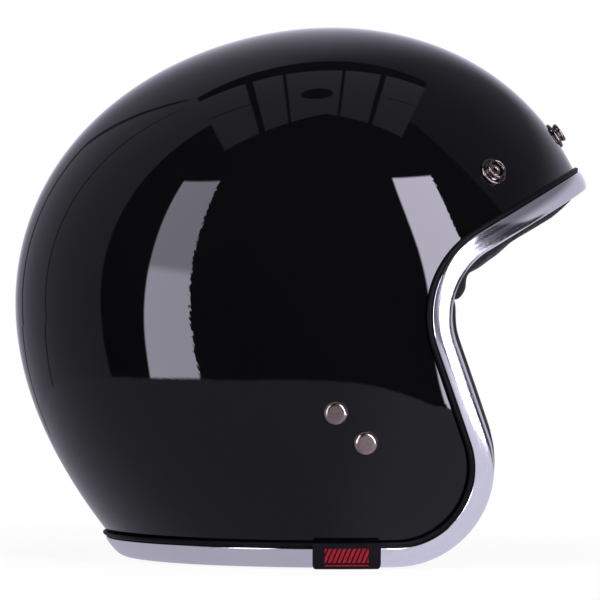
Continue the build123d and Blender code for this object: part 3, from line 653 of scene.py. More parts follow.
trim = {
    "floor": 2 * mm,
    "outerLeg": 9.6 * mm,
    "innerLeg": 8 * mm,
    "lip": 1.3 * mm,
    "innerWall": 1.75 * mm,
    "fit": 0.15 * mm,
    "corner": 0.6 * mm,
    "beadWidth": 2.3 * mm,
    "beadProud": 2.1 * mm,
    "stripProud": 2.7 * mm,
    "stripFit": 0.1 * mm,
    "stripFoot": 0.7 * mm,
    "stripSkin": 0.5 * mm,
    "stations": {"brow": 46, "eye": 34, "line": 12, "jaw": 40, "bottom": 84},
}


def edgeStations():
    stations = [("brow", 0.0)]
    for segment, count in trim["stations"].items():
        stations += [(segment, step / count) for step in range(1, count + 1)]
    return stations


def ringShape(profile):
    # The closed profile carried round the whole edge, the right half a mirror of the left
    stations = edgeStations()
    last = len(stations) - 1
    rim = {}
    for i, (segment, share) in enumerate(stations):
        for j, (grow, inset) in enumerate(profile):
            rim[i, j] = edgePlace(segment, share, grow, inset)
    length = sum((rim[i + 1, 0] - rim[i, 0]).length for i in range(last))
    girth = sum((b - a).length for a, b in zip(profile, profile[1:]))
    flip = Vector((1, -1, 1))

    def place(u, v):
        i, j = round(u * 2 * last), round(v * (len(profile) - 1))
        return rim[i, j].copy() if i <= last else rim[2 * last - i, j] * flip

    return gridShape(len(profile) - 1, 2 * last, place, (2 * length, girth))


def rubberProfile():
    back = shell["wall"] + trim["fit"] + trim["innerWall"]
    wall = shell["wall"] + trim["fit"]
    foot = trim["outerLeg"] - trim["beadWidth"]
    tip = -(trim["floor"] - trim["stripSkin"] - trim["stripFit"])
    bead = smoothPath([Vector((trim["outerLeg"], -trim["fit"])),
                       Vector((trim["outerLeg"] + 0.05 * mm, -trim["lip"])),
                       Vector((trim["outerLeg"] - trim["beadWidth"] / 2, -trim["beadProud"])),
                       Vector((foot - 0.05 * mm, -trim["lip"]))], 5)
    body = rounded([Vector(p) for p in (
        (foot - 0.05 * mm, -trim["lip"]), (tip, -trim["lip"]),
        (tip, trim["stripFoot"] + trim["stripFit"]),
        (-trim["floor"], trim["stripFoot"] + trim["stripFit"]), (-trim["floor"], back),
        (trim["innerLeg"], back), (trim["innerLeg"], wall), (-trim["fit"], wall),
        (-trim["fit"], -trim["fit"]), (trim["outerLeg"], -trim["fit"]))],
        trim["corner"])
    return bead[:-1] + body


def stripProfile():
    top = trim["outerLeg"] - trim["beadWidth"] - trim["stripFit"]
    base = trim["lip"] + trim["stripFit"]
    rise, width = trim["stripProud"] - base, top + trim["floor"]
    shares = [(0, 0.2), (0.03, 0.5), (0.09, 0.72), (0.3, 0.95), (0.55, 1.0), (0.76, 0.88),
              (0.89, 0.62), (0.97, 0.1)]
    dome = [Vector((top - width * along, -base - rise * up)) for along, up in shares]
    dome.append(Vector((-trim["floor"], -trim["corner"])))
    tip = -(trim["floor"] - trim["stripSkin"])
    inner = rounded([Vector(p) for p in (
        (-trim["floor"], -trim["corner"]), (-trim["floor"], trim["stripFoot"]),
        (tip, trim["stripFoot"]), (tip, -base), (top, -base), dome[0])], 0.2 * mm, 2)
    return smoothPath(dome, 4)[:-1] + inner


def makeTrims():
    finishPiece(ringShape(rubberProfile()), "rubberChannel", finishes["rubber"], "helmet",
                ["trim_rubber"], 50)
    finishPiece(ringShape(stripProfile()), "brightStrip", finishes["bright"], "helmet",
                ["trim_chrome"], 50)


makeTrims()
print("edge trims made")


def tagPath():
    # From the bead outside, round under the trim, up to the inner leg's end
    proud, under = trim["stripProud"] + tag["gap"], trim["floor"] + tag["gap"]
    inside = shell["wall"] + trim["fit"] + trim["innerWall"] + tag["gap"]
    top = trim["outerLeg"]
    points = [(top - 0.2 * mm, -0.9 * proud), (0.75 * top, -0.99 * proud), (0.45 * top, -proud),
              (0.1 * top, -0.99 * proud), (-0.5 * under, -0.9 * proud),
              (-0.9 * under, -0.62 * proud), (-under, -0.1 * proud), (-under, 0.5 * inside),
              (-under, inside - 1.2 * mm), (-0.7 * under, inside - 0.2 * mm),
              (0.1 * trim["innerLeg"], inside), (trim["innerLeg"], inside)]
    return smoothPath([Vector(p) for p in points], 4)


def makeTag():
    path = tagPath()
    lengths = [0.0]
    for a, b in zip(path, path[1:]):
        lengths.append(lengths[-1] + (b - a).length)
    middle = shell["middle"].x + tag["forward"]
    cache = {}

    def place(u, v):
        # v runs down the outside, so the UV map's second axis starts at the bead
        i = round(v * (len(path) - 1))
        grow, inset = path[i]
        depth = min(max(-grow / (trim["floor"] + tag["gap"]), 0.0), 1.0)
        pull = tag["corner"] * (1 - math.sqrt(1 - depth * depth))
        x = middle + (u - 0.5) * (tag["width"] - 2 * pull)
        key = (round(u, 4), i)
        if key not in cache:
            z = shell["edgeZ"] + grow
            cache[key] = Vector((x, -halfWidthAt(x, z, inset), z))
        return cache[key].copy()

    bm = gridShape(len(path) - 1, tag["columns"], place, (tag["width"], lengths[-1]), False)
    outward = Vector((0, -1, 0))
    face = min(bm.faces, key=lambda f: f.calc_center_median().y)
    if face.normal.dot(outward) < 0:
        bmesh.ops.reverse_faces(bm, faces=bm.faces)
    bmesh.ops.solidify(bm, geom=bm.faces, thickness=-tag["thickness"])
    finishPiece(bm, "edgeTag", finishes["label"], "helmet", ["side_tag"], 50)


makeTag()
print("tag made")

rivet = {"forward": 14 * mm, "height": 62.1 * mm, "pitch": 19.2 * mm, "angle": -45.0}
snap = {"angle": 40.5, "sideForward": 80 * mm, "sideUp": 76.9 * mm}


def rivetPlanes():
    level, rise = turn(rivet["angle"])
    planes = []
    for side in (-1, 1):
        for step in (-rivet["pitch"] / 2, rivet["pitch"] / 2):
            x = shell["middle"].x + rivet["forward"] + step * level
            z = shell["edgeZ"] + rivet["height"] + step * rise
            planes.append(planeAt(*onShell(x, z, side)))
    return planes


def snapPlanes():
    d = Vector((turn(snap["angle"])[0], 0, turn(snap["angle"])[1]))
    top = shell["middle"] + d * radiusAlong(d)
    planes = [planeAt(top, slopeAt(top).normalized())]
    x, z = shell["middle"].x + snap["sideForward"], shell["middle"].z + snap["sideUp"]
    return planes + [planeAt(*onShell(x, z, side)) for side in (-1, 1)]


def makeFasteners():
    # Heights are above the shell
    head = [(0, 2.44), (3.4, 2.44), (4.1, 2.3), (4.9, 1.75), (5.4, 1.1), (5.6, 0.55), (5.6, 0.0),
            (2.4, 0.0), (2.4, -6.8), (3.7, -6.8), (3.7, -7.6), (3.0, -8.0), (0, -8.0)]
    makeTurned("strapRivets", head, 0.35, rivetPlanes(), "nickel", "helmet", "strap_rivets")
    stud = [(2.1, 0.0), (6.5, 0.0), (6.5, 0.9), (6.1, 1.4), (5.4, 1.4), (4.9, 1.0), (4.1, 1.3),
            (4.1, 2.3), (4.7, 2.8), (4.7, 3.75), (4.3, 4.2), (3.9, 4.2), (3.5, 3.8),
            (3.4, 0.9), (2.1, 0.9), (2.1, 0.0)]
    makeTurned("browSnapStuds", stud, 0.22, snapPlanes(), "stud", "helmet", "snap_studs")
    eyelet = [(1.1, 2.1), (1.3, 2.45), (2.4, 2.55), (2.8, 2.3), (2.8, 0.9), (2.05, 0.9),
              (2.05, -5.0), (2.8, -5.0), (2.8, -5.5), (1.1, -5.5), (1.1, 2.1)]
    makeTurned("browSnapEyelets", eyelet, 0.18, snapPlanes(), "nickel", "helmet",
               "snap_eyelets", 40)


makeFasteners()
print("fasteners made")

# Padding: the CAD solid's copy, a little smaller, remeshed, then blown up against a cap
pads = {
    "cheek_pad_right": {"piece": "cheekPadRight", "finish": "knit", "voxel": 2.4 * mm,
                        "shrink": 0.1 * mm, "cap": 0.8 * mm, "pressure": 5.0},
    "brow_pad": {"piece": "browPad", "finish": "knit", "voxel": 2.2 * mm,
                 "shrink": 0.0 * mm, "cap": 0.6 * mm, "pressure": 5.0},
    "neck_pad": {"piece": "neckPad", "finish": "knit", "voxel": 4.0 * mm,
                 "shrink": 1.2 * mm, "cap": 3.0 * mm, "pressure": 5.0},
    "crown_liner": {"piece": "crownLining", "finish": "mesh", "voxel": 3.2 * mm,
                    "shrink": 0.6 * mm, "cap": 2.0 * mm, "pressure": 4.0},
}


def padStart(node, pad):
    bm = bmesh.new()
    bm.from_mesh(nodes[node].data)
    bmesh.ops.remove_doubles(bm, verts=bm.verts, dist=0.02 * mm)
    bmesh.ops.recalc_face_normals(bm, faces=bm.faces)
    bm.normal_update()
    for vert in bm.verts:
        vert.co -= vert.normal * pad["shrink"]
    piece = finishPiece(bm, pad["piece"], finishes[pad["finish"]], None)
    voxels = piece.modifiers.new("voxels", "REMESH")
    voxels.mode = "VOXEL"
    voxels.voxel_size = pad["voxel"]
    bakeModifiers(piece)
    return piece


# How far the brow pad's lip stands past the shell's edge: at millimetres forward of the eye port's
# round part (negative), and at degrees round it. The roll is the CAD solid's own reach
lip = {
    "roll": 4.1 * mm,
    "reach": [(-52, 2.0 * mm), (-36, 3.7 * mm), (-12, 3.3 * mm), (-3, 4.9 * mm),
              (14, 5.1 * mm), (22, 3.8 * mm), (27, 4.0 * mm), (36, 5.9 * mm),
              (44, 5.2 * mm), (52, 2.4 * mm)],
}


def lipReach(place):
    reach = lip["reach"]
    for (a, low), (b, high) in zip(reach, reach[1:]):
        if place < b:
            return low + (high - low) * max(0.0, (place - a) / (b - a))
    return reach[-1][1]


def shapeLip(piece):
    brow = edge["browAngle"]
    level, rise = turn(brow)
    startX, startZ = around(edge["eyeX"], edge["eyeZ"], edge["eyeRadius"], brow + 90)
    for vert in piece.data.vertices:
        p = vert.co
        along = (p.x - startX) * level + (p.z - startZ) * rise
        if along > 0:
            depth = (p.x - startX) * rise - (p.z - startZ) * level
            way, place = Vector((rise, 0, -level)), -along / mm
        else:
            away = Vector((edge["eyeX"] - p.x, 0, edge["eyeZ"] - p.z))
            depth = edge["eyeRadius"] - away.length
            way = away.normalized()
            place = math.degrees(math.atan2(-away.z, -away.x)) - brow - 90
        if 0 < depth < 3 * lip["roll"]:
            vert.co = p + way * depth * (lipReach(place) / lip["roll"] - 1)


def smoothMesh(piece, factor, times):
    bm = bmesh.new()
    bm.from_mesh(piece.data)
    for _ in range(times):
        bmesh.ops.smooth_vert(bm, verts=bm.verts, factor=factor, use_axis_x=True,
                              use_axis_y=True, use_axis_z=True)
    bm.to_mesh(piece.data)
    bm.free()


stuffing = {"frames": 15, "quality": 4}


def blowUp(piece, pad):
    rest = [v.co.copy() for v in piece.data.vertices]
    cloth = piece.modifiers.new("stuffing", "CLOTH")
    cloth.settings.use_pressure = True
    cloth.settings.uniform_pressure_force = pad["pressure"]
    cloth.settings.effector_weights.gravity = 0
    cloth.settings.quality = stuffing["quality"]
    cloth.collision_settings.use_collision = False
    for step in range(1, stuffing["frames"] + 1):
        scene.frame_set(step)
    shape = piece.evaluated_get(bpy.context.evaluated_depsgraph_get()).data
    moved = [v.co.copy() for v in shape.vertices]
    piece.modifiers.remove(cloth)
    for vert, start, end in zip(piece.data.vertices, rest, moved):
        step = end - start
        if step.length > pad["cap"]:
            step *= pad["cap"] / step.length
        vert.co = start + step


def finishPad(piece, node):
    soft = piece.modifiers.new("softer", "SUBSURF")
    soft.levels = soft.render_levels = 1
    bakeModifiers(piece)
    piece.data.materials.clear()
    piece.data.materials.append(finishes[pads[node]["finish"]])
    piece.data.shade_smooth()
    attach(piece, "helmet")
    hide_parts(node)


def makePads():
    for node, pad in pads.items():
        piece = padStart(node, pad)
        smoothMesh(piece, 0.5, 2)
        if node == "brow_pad":
            shapeLip(piece)
        blowUp(piece, pad)
        finishPad(piece, node)
        print("pad made:", pad["piece"], len(piece.data.polygons), "faces")


makePads()
scene.frame_set(1)


def makeLeftCheek():
    # The left cheek pad is the right one's mirror image
    right = bpy.data.objects[pads["cheek_pad_right"]["piece"]]
    bm = bmesh.new()
    bm.from_mesh(right.data)
    bmesh.ops.scale(bm, vec=(1, -1, 1), verts=bm.verts)
    bmesh.ops.reverse_faces(bm, faces=bm.faces)
    left = finishPiece(bm, "cheekPadLeft", finishes["knit"], "helmet",
                       ["cheek_pad_left"], 180)


makeLeftCheek()

strap = {
    "x": shell["middle"].x + 17.4 * mm,
    "width": 25 * mm,
    "thickness": 1.5 * mm,
    "floor": 0.3 * mm,
    "full": 1.7 * mm,
    "gap": 0.35 * mm,
    "plate": 1.5 * mm,
    "short": 59 * mm,
    "long": 86 * mm,
    "foldHeight": 3 * mm,
    "foldEndGap": 0.8 * mm,
    "folded": 54 * mm,
    "sewn": 15 * mm,
    "slope": 12 * mm,
    "ringWire": 3.2 * mm,
    "pinGap": 0.15 * mm,
    "settle": 26 * mm,
}
strapMid = strap["floor"] + strap["full"] / 2
tailInset = shell["wall"] + 2 * strap["gap"] + strap["full"] / 2
strapInset = (shell["wall"] + 3 * strap["gap"] + strap["full"] + strap["plate"]
              + strap["gap"] + strap["full"] / 2)
hingeY = halfWidthAt(strap["x"], strapMid, strapInset)
lowerBarZ = strap["floor"] + strap["full"] + strap["pinGap"] + strap["ringWire"] / 2
upperBarZ = lowerBarZ + strap["ringWire"] + strap["pinGap"]
foldY = -hingeY + strap["long"]
foldUpperZ = strap["floor"] + strap["full"] + strap["foldHeight"]
slotTop = (shell["edgeZ"] + rivet["height"] - turn(45)[0] * rivet["pitch"] / 2) - 8 * mm


def rootPath():
    # (height, inset): up behind the bar, through the slot, then down to the edge
    bar = slotTop - 3.5 * mm
    low = bar - 5 * mm
    points = [(low - 24 * mm, tailInset), (low - 12 * mm, tailInset), (low, tailInset),
              (bar - 1 * mm, tailInset), (bar + 1.4 * mm, tailInset + 0.6 * mm),
              (bar + 2.0 * mm, (tailInset + strapInset) / 2),
              (bar + 1.4 * mm, strapInset - 0.6 * mm), (bar - 1 * mm, strapInset),
              (low, strapInset), (low - 14 * mm, strapInset), (low - 26 * mm, strapInset),
              (6 * mm, strapInset), (3.4 * mm, strapInset)]
    return [Vector(p) for p in points]


def tablePath(flat):
    # Distances (inwards from the fold, height) of the part that lies on the table
    return [Vector((0.75 * mm, 1.75 * mm)), Vector((2.2 * mm, strapMid))] + flat


def webbingShape(side, root, flat, offset=0.0):
    # A flat band with round edges along the root path, if any, and then the table path
    stations = []
    for p in smoothPath(root, 5) if root else []:
        stations.append(("root", p.x, p.y))
    for p in smoothPath(flat, 6):
        stations.append(("flat", p.x, p.y))
    half, thick = strap["width"] / 2, strap["thickness"] / 2
    outline = []
    for i in range(13):
        outline.append((-half + thick + (2 * half - 2 * thick) * i / 12, thick))
    for i in range(1, 6):
        level, rise = turn(90 - 36 * i)
        outline.append((half - thick + thick * level, thick * rise))
    for i in range(1, 13):
        outline.append((half - thick - (2 * half - 2 * thick) * i / 12, -thick))
    for i in range(1, 6):
        level, rise = turn(-90 - 36 * i)
        outline.append((-half + thick + thick * level, thick * rise))
    lines = {}
    for x in {round(a, 7) for a, _ in outline}:
        line = []
        slant = halfWidthAt(strap["x"] + x, 3 * mm, strapInset) - hingeY
        for kind, a, b in stations:
            if kind == "root":
                line.append(Vector((strap["x"] + x, halfWidthAt(strap["x"] + x, a, b), a)))
            else:
                fade = max(0.0, 1 - a / strap["settle"])
                y = hingeY - a + slant * fade * fade * (3 - 2 * fade)
                line.append(Vector((strap["x"] + x, y, b)))
        lines[x] = line
    count = len(stations) - 1
    length = sum((b - a).length for a, b in zip(lines[0.0], lines[0.0][1:]))

    def place(u, v):
        i = round(u * count)
        across, lift = outline[round(v * len(outline)) % len(outline)]
        line = lines[round(across, 7)]
        ahead = line[min(i + 1, count)] - line[max(i - 1, 0)]
        normal = Vector((0, ahead.z, -ahead.y)).normalized()
        p = line[i] + normal * lift
        return Vector((p.x, p.y * side, p.z))

    bm = gridShape(len(outline), count, place, (length, 2 * strap["width"]))
    uv = bm.loops.layers.uv["UVMap"]
    for face in bm.faces:
        for loop in face.loops:
            loop[uv].uv.x += offset
    ends = [e for e in bm.edges if e.is_boundary]
    bmesh.ops.holes_fill(bm, edges=ends, sides=0)
    bmesh.ops.recalc_face_normals(bm, faces=bm.faces)
    return bm


def makeStraps():
    # Short left strap with its sewn loop, long right strap, and the right one's loose end
    top = strap["floor"] + strap["full"]
    pocket = strap["ringWire"] / 2 + strap["pinGap"]
    loopTop = upperBarZ + pocket + strap["full"] / 2
    turnAt = strap["short"] + pocket + strap["full"] / 2
    slopeAtY = strap["short"] - pocket
    over = top + strap["full"] / 2
    left = tablePath([Vector(p) for p in (
        (8 * mm, strapMid), (20 * mm, strapMid), (36 * mm, strapMid), (48 * mm, strapMid),
        (turnAt - 3 * mm, strapMid), (turnAt - 0.7 * mm, strapMid + 0.5 * mm),
        (turnAt, strapMid + 2.2 * mm), (turnAt, loopTop - 2.2 * mm),
        (turnAt - 0.7 * mm, loopTop - 0.5 * mm), (turnAt - 2.4 * mm, loopTop),
        (slopeAtY, loopTop), (slopeAtY - 4 * mm, loopTop - 2.4 * mm),
        (slopeAtY - 9 * mm, over + 1.0 * mm), (slopeAtY - strap["slope"], over),
        (slopeAtY - strap["slope"] - 7 * mm, over),
        (slopeAtY - strap["slope"] - strap["sewn"], over))])
    bm = webbingShape(1, rootPath(), left)
    piece = finishPiece(bm, "webbingLeft", finishes["webbing"], None,
                        ["strap_root_left", "strap_left"], 60)
    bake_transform(piece)
    foldAt = hingeY + foldY
    endZ = foldUpperZ + strap["full"] / 2
    mid = (strapMid + endZ) / 2
    bulge = (endZ - strapMid) / 2
    right = tablePath([Vector(p) for p in (
        (8 * mm, strapMid), (20 * mm, strapMid), (40 * mm, strapMid),
        (foldAt - 12 * mm, strapMid), (foldAt - 2 * mm, strapMid),
        (foldAt + 0.7 * bulge, mid - 0.72 * bulge), (foldAt + bulge, mid),
        (foldAt + 0.7 * bulge, mid + 0.72 * bulge), (foldAt + 0.3 * mm, endZ),
        (foldAt - 0.3 * mm, endZ))])
    bm = webbingShape(-1, rootPath(), right)
    piece = finishPiece(bm, "webbingRight", finishes["webbing"], None,
                        ["strap_root_right", "strap_right"], 60)
    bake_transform(piece)
    # The loose end goes on from the top of the fold and runs flat back along the strap, through
    # the place of its hinge
    hingeBack = strap["foldEndGap"] + strap["full"] / 2
    back = [Vector((foldAt - a, endZ)) for a in (
        0.3 * mm, hingeBack, 3 * mm, 14 * mm, 30 * mm, 44 * mm, strap["folded"])]
    bm = webbingShape(-1, None, back, 0.04)
    piece = finishPiece(bm, "webbingFoldedEnd", finishes["webbing"], None,
                        ["strap_right_end"], 60)
    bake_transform(piece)


makeStraps()
print("straps made")

keeper = {"fromTip": 8 * mm}


def makeKeeper():
    # Post on the lower run, socket and cap on the folded end
    tip = foldY - strap["foldEndGap"] - strap["full"] / 2 - strap["folded"]
    place = Matrix.Translation(
        (strap["x"], tip + keeper["fromTip"], strap["floor"] + strap["full"]))
    post = [(0, 0), (4.6, 0), (4.6, 0.3), (4.2, 0.5), (2.2, 0.6), (2.2, 2.3), (1.9, 2.5),
            (0, 2.5)]
    makeTurned("keeperPost", post, 0.2, [place], "nickel", "right_strap", "keeper_stud", 40)
    cap = [(2.5, 0.8), (5.6, 0.8), (6.0, 1.2), (6.0, 2.95), (1.4, 2.95), (1.4, 4.75),
           (6.0, 4.75), (6.0, 5.3), (4.4, 6.0), (2.2, 6.15), (0, 6.15), (0, 2.6), (2.5, 2.6),
           (2.5, 0.8)]
    makeTurned("keeperCap", cap, 0.3, [place], "cap", "right_strap_end", "keeper_cap", 48)


makeKeeper()

# CAD nodes that stay keep their shape and get their finish
kept = {
    "foam_liner": "foam", "cheek_board_left": "board", "cheek_board_right": "board",
    "board_studs": "board", "anchor_plate_left": "steel", "anchor_plate_right": "steel",
    "rivet_washers": "nickel", "snap_washers": "nickel", "d_ring_lower": "ring",
    "d_ring_upper": "ring",
}
for name, finish in kept.items():
    mesh = nodes[name].data
    mesh.materials.clear()
    mesh.materials.append(finishes[finish])
print("kept nodes finished")

# The studio that the gloss mirrors: a pale tent with seamed walls, a panelled roof and two tall
# openings. Angles are in degrees: turn from the camera's side towards +X, and rise. A curved
# edge is (its turn, how much it bends, the rise about which it bends)
studio = {
    "floorSize": 2.6,
    "floorTone": 0.82,
    "tint": (1.03, 0.98, 1.2),
    "dark": 0.03,
    "mirrorPoint": (0.0, -0.05, 0.1),
    "floorWhite": {1: 0.15, 2: 0.4, 3: 0.93, 4: 1.0},
    "floorGlow": (0.42, 0.66),
    "floorEdge": {"turn": 4.0, "spread": 48.0, "height": 20.2, "low": -13.0},
    "tear": {"scale": 55.0, "opening": 2.6, "floor": 0.8},
    "leftWall": {"turn": -75.5, "glow": 0.37},
    "rightWall": {"turn": (58.8, 0.0115, 62.8), "glow": (0.5, 0.15), "fade": (22.0, 8.0)},
    "backWall": {"turn": 168.0, "soft": 18.0, "glow": 1.0, "fall": -0.00018},
    "seams": [{"turn": -115.5, "lean": 0.0, "half": 0.5},
              {"turn": -146.5, "lean": 0.65, "half": 1.1}],
    "seamTone": -0.85,
    "seamTop": 58.0,
    "seamBend": 25.0,
    "openings": [
        {"left": (-51.2, -0.004, 30.0), "right": (-34.0, -0.004, 27.0), "top": 44.0,
         "glow": (10.5, 6.0)},
        {"left": (25.8, 0.0104, 40.8), "right": (44.0, 0.012, 40.0), "top": 41.5,
         "glow": (18.5, 18.5)},
    ],
    "openingStep": (17.5, 1.5),
    "roof": {"left": -0.48, "right": 0.42, "back": 0.24, "gap": 0.4, "curve": -0.35,
             "front": (-0.4, -0.3), "glow": 0.38, "cross": -0.055, "crossFrom": 0.26,
             "joints": [(-0.277, 0.014), (-0.152, 0.006), (0.06, 0.006), (0.218, 0.012)],
             "lens": (-0.036, -0.065, 0.062)},
}


def makeGlowGroup():
    # Radiance by direction
    tree, given, result = newGroup("tentGlow", [("Vector", "NodeSocketVector", None)],
                                   [("Value", "NodeSocketFloat")])

    def calc(operation, *values):
        return addNode(tree, "ShaderNodeMath", dict(enumerate(values)),
                       operation=operation).outputs[0]

    def past(value, bound, soft):
        away = calc("SUBTRACT", value, bound)
        return addNode(tree, "ShaderNodeMapRange", {0: away, 1: -soft, 2: soft},
                       interpolation_type="SMOOTHSTEP").outputs[0]

    def before(value, bound, soft):
        return calc("SUBTRACT", 1.0, past(value, bound, soft))

    def blended(share, low, high):
        return addNode(tree, "ShaderNodeMix", {0: share, 2: low, 3: high}).outputs[0]

    def near(value, bound, half, soft):
        return before(calc("ABSOLUTE", calc("SUBTRACT", value, bound)), half, soft)

    def bent(base, bend, centre):
        off = calc("SUBTRACT", rise, centre)
        return calc("MULTIPLY_ADD", calc("MULTIPLY", off, off), bend, base)

    split = addNode(tree, "ShaderNodeSeparateXYZ", {
        0: addNode(tree, "ShaderNodeVectorMath", {0: given.outputs["Vector"]},
                   operation="NORMALIZE").outputs[0]})
    x, y, z = split.outputs
    turned = calc("DEGREES", calc("ARCTAN2", x, calc("MULTIPLY", y, -1.0)))
    rise = calc("DEGREES", calc("ARCSINE", z))
    tear = addNode(tree, "ShaderNodeTexNoise", {
        "Vector": given.outputs["Vector"], "Scale": studio["tear"]["scale"],
        "Detail": 2.0}).outputs["Fac"]
    tear = calc("SUBTRACT", tear, 0.5)
    torn = calc("MULTIPLY_ADD", tear, studio["tear"]["opening"], turned)
    # Walls: plain at the sides, brighter behind, with dark seams
    walls = []
    left, right, back = studio["leftWall"], studio["rightWall"], studio["backWall"]
    fall = calc("MULTIPLY_ADD", calc("MULTIPLY", rise, rise), back["fall"], back["glow"])
    behind = past(calc("ABSOLUTE", turned), back["turn"], back["soft"])
    for mask, glow in ((before(turned, left["turn"], 0.8), left["glow"]),
                       (past(turned, bent(*right["turn"]), 1.0),
                        blended(past(rise, *right["fade"]), *right["glow"]))):
        walls.append(calc("MULTIPLY", mask, blended(behind, glow, fall)))
    wall = calc("MAXIMUM", *walls)
    for seam in studio["seams"]:
        lean = calc("SUBTRACT", rise, studio["seamBend"])
        lean = calc("MULTIPLY", calc("MAXIMUM", lean, 0.0), seam["lean"])
        line = near(turned, calc("ADD", lean, seam["turn"]), seam["half"], 0.4)
        line = calc("MULTIPLY", line, before(rise, studio["seamTop"], 3.0))
        wall = calc("MULTIPLY", wall, calc("MULTIPLY_ADD", line, studio["seamTone"], 1.0))
    # Roof: places on a level plane one unit up
    roof = studio["roof"]
    up = calc("MAXIMUM", z, 0.001)
    u, v = calc("DIVIDE", x, up), calc("DIVIDE", y, up)
    wide = calc("ABSOLUTE", u)
    limit = calc("MULTIPLY_ADD", calc("MULTIPLY", u, u), roof["curve"], roof["gap"])
    inside = calc("MULTIPLY", past(u, roof["left"], 0.006), before(u, roof["right"], 0.01))
    inside = calc("MULTIPLY", inside, before(v, limit, 0.008))
    front = calc("MULTIPLY_ADD", wide, *roof["front"])
    panel = calc("MULTIPLY", past(v, front, 0.006), before(v, roof["back"], 0.006))
    for place, half in roof["joints"]:
        panel = calc("MULTIPLY", panel, calc("SUBTRACT", 1.0, near(u, place, half, 0.004)))
    cross = calc("MULTIPLY", near(v, roof["cross"], 0.004, 0.004),
                 past(wide, roof["crossFrom"], 0.01))
    panel = calc("MULTIPLY", panel, calc("SUBTRACT", 1.0, cross))
    lensU, lensV, lensSize = roof["lens"]
    du, dv = calc("SUBTRACT", u, lensU), calc("SUBTRACT", v, lensV)
    round2 = calc("ADD", calc("MULTIPLY", du, du), calc("MULTIPLY", dv, dv))
    panel = calc("MULTIPLY", panel, past(calc("SQRT", round2), lensSize, 0.006))
    glow = blended(inside, wall, calc("MULTIPLY", panel, roof["glow"]))
    # Openings: straight left edges, ragged right ones, and a step in their light
    for opening in studio["openings"]:
        mask = calc("MULTIPLY", past(turned, bent(*opening["left"]), 0.5),
                    before(torn, bent(*opening["right"]), 0.3))
        mask = calc("MULTIPLY", mask, before(rise, opening["top"], 0.5))
        level = blended(past(rise, *studio["openingStep"]), *opening["glow"])
        glow = calc("MULTIPLY_ADD", mask, level, glow)
    # Floor and its turned-up front edge
    rim = studio["floorEdge"]
    off = calc("DIVIDE", calc("SUBTRACT", turned, rim["turn"]), rim["spread"])
    bell = calc("EXPONENT", calc("MULTIPLY", calc("MULTIPLY", off, off), -1.0))
    rimRise = calc("MULTIPLY_ADD", bell, rim["height"], rim["low"])
    low = before(calc("MULTIPLY_ADD", tear, studio["tear"]["floor"], rise), rimRise, 0.4)
    glow = blended(low, glow, blended(past(turned, 17.0, 14.0), *studio["floorGlow"]))
    glow = calc("ADD", glow, studio["dark"])
    tree.links.new(glow, result.inputs["Value"])
    return tree


groups["glow"] = makeGlowGroup()


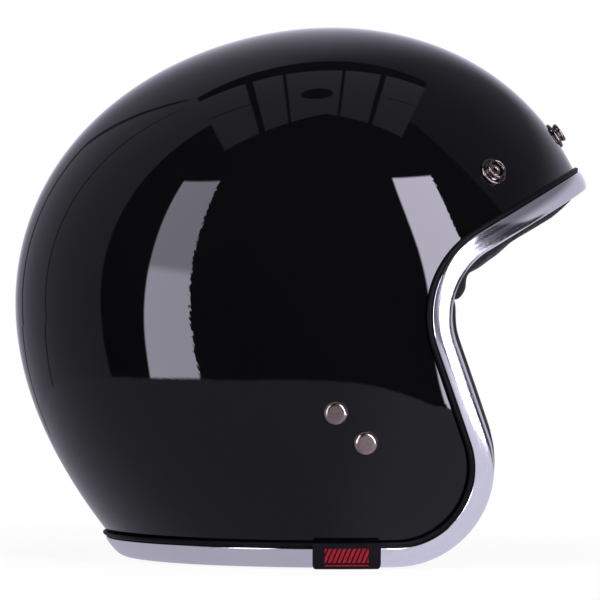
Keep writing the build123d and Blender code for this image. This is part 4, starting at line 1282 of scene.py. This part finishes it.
def makeFloor():
    bm = bmesh.new()
    bmesh.ops.create_circle(bm, cap_ends=True, segments=96, radius=studio["floorSize"])
    mesh = bpy.data.meshes.new("studioFloor")
    bm.to_mesh(mesh)
    bm.free()
    floor = bpy.data.objects.new("studioFloor", mesh)
    scene.collection.objects.link(floor)
    material = bpy.data.materials.new("studioFloorPaint")
    material.use_nodes = True
    tree = material.node_tree
    tree.nodes.clear()
    tone = studio["floorTone"]
    paint = addNode(tree, "ShaderNodeBsdfDiffuse", {"Color": (tone, tone, tone, 1)})
    white = addNode(tree, "ShaderNodeEmission", {"Color": (1, 1, 1, 1), "Strength": 1.0})
    path = addNode(tree, "ShaderNodeLightPath")
    place = addNode(tree, "ShaderNodeTexCoord").outputs["Object"]
    away = addNode(tree, "ShaderNodeVectorMath", {0: place}, operation="LENGTH").outputs[1]
    far = addNode(tree, "ShaderNodeMapRange", {0: away, **studio["floorWhite"]})
    share = mathNode(tree, "MULTIPLY", path.outputs["Is Camera Ray"], far.outputs[0])
    seen = addNode(tree, "ShaderNodeMixShader", {
        0: share, 1: paint.outputs[0], 2: white.outputs[0]})
    way = addNode(tree, "ShaderNodeVectorMath", {0: place, 1: studio["mirrorPoint"]},
                  operation="SUBTRACT").outputs[0]
    mirrored = addNode(tree, "ShaderNodeEmission", {
        "Color": (*studio["tint"], 1), "Strength": shared(tree, "glow", way).outputs[0]})
    mix = addNode(tree, "ShaderNodeMixShader", {
        0: path.outputs["Is Glossy Ray"], 1: seen.outputs[0], 2: mirrored.outputs[0]})
    out = addNode(tree, "ShaderNodeOutputMaterial")
    tree.links.new(mix.outputs[0], out.inputs[0])
    mesh.materials.append(material)


def makeWorld():
    # White to the camera, the tent for everything else
    sky = bpy.data.worlds.new("studioWorld")
    scene.world = sky
    sky.use_nodes = True
    tree = sky.node_tree
    tree.nodes.clear()
    way = addNode(tree, "ShaderNodeTexCoord").outputs["Generated"]
    tent = addNode(tree, "ShaderNodeBackground", {
        "Color": (*studio["tint"], 1), "Strength": shared(tree, "glow", way).outputs[0]})
    white = addNode(tree, "ShaderNodeBackground", {"Color": (1, 1, 1, 1), "Strength": 1.0})
    path = addNode(tree, "ShaderNodeLightPath")
    mix = addNode(tree, "ShaderNodeMixShader", {
        0: path.outputs["Is Camera Ray"], 1: tent.outputs[0], 2: white.outputs[0]})
    out = addNode(tree, "ShaderNodeOutputWorld")
    tree.links.new(mix.outputs[0], out.inputs[0])


roofLight = {"size": 1.2, "power": 9, "place": (0, -0.3, 1.6)}


def makeRoofLight():
    # A broad soft lamp above, for the cloth and the floor
    lamp = bpy.data.lights.new("roofLight", "AREA")
    lamp.shape = "DISK"
    lamp.size = roofLight["size"]
    lamp.energy = roofLight["power"]
    holder = bpy.data.objects.new("roofLight", lamp)
    scene.collection.objects.link(holder)
    holder.location = roofLight["place"]
    holder.visible_glossy = False


photoView = {"lens": 250, "sensor": 36, "reach": (0.1, 20),
             "place": (-0.35 * mm, -2.0, shell["middle"].z + 17.9 * mm)}


def makeCamera():
    # Level with the shell's upper half, from the right
    view = bpy.data.cameras.new("photoCamera")
    view.lens = photoView["lens"]
    view.sensor_width = photoView["sensor"]
    view.clip_start, view.clip_end = photoView["reach"]
    camera = bpy.data.objects.new("photoCamera", view)
    scene.collection.objects.link(camera)
    camera.location = photoView["place"]
    camera.rotation_euler = (math.pi / 2, 0, 0)
    scene.camera = camera


makeFloor()
makeWorld()
makeRoofLight()
makeCamera()
scene.view_settings.view_transform = "Standard"

print("scene done")
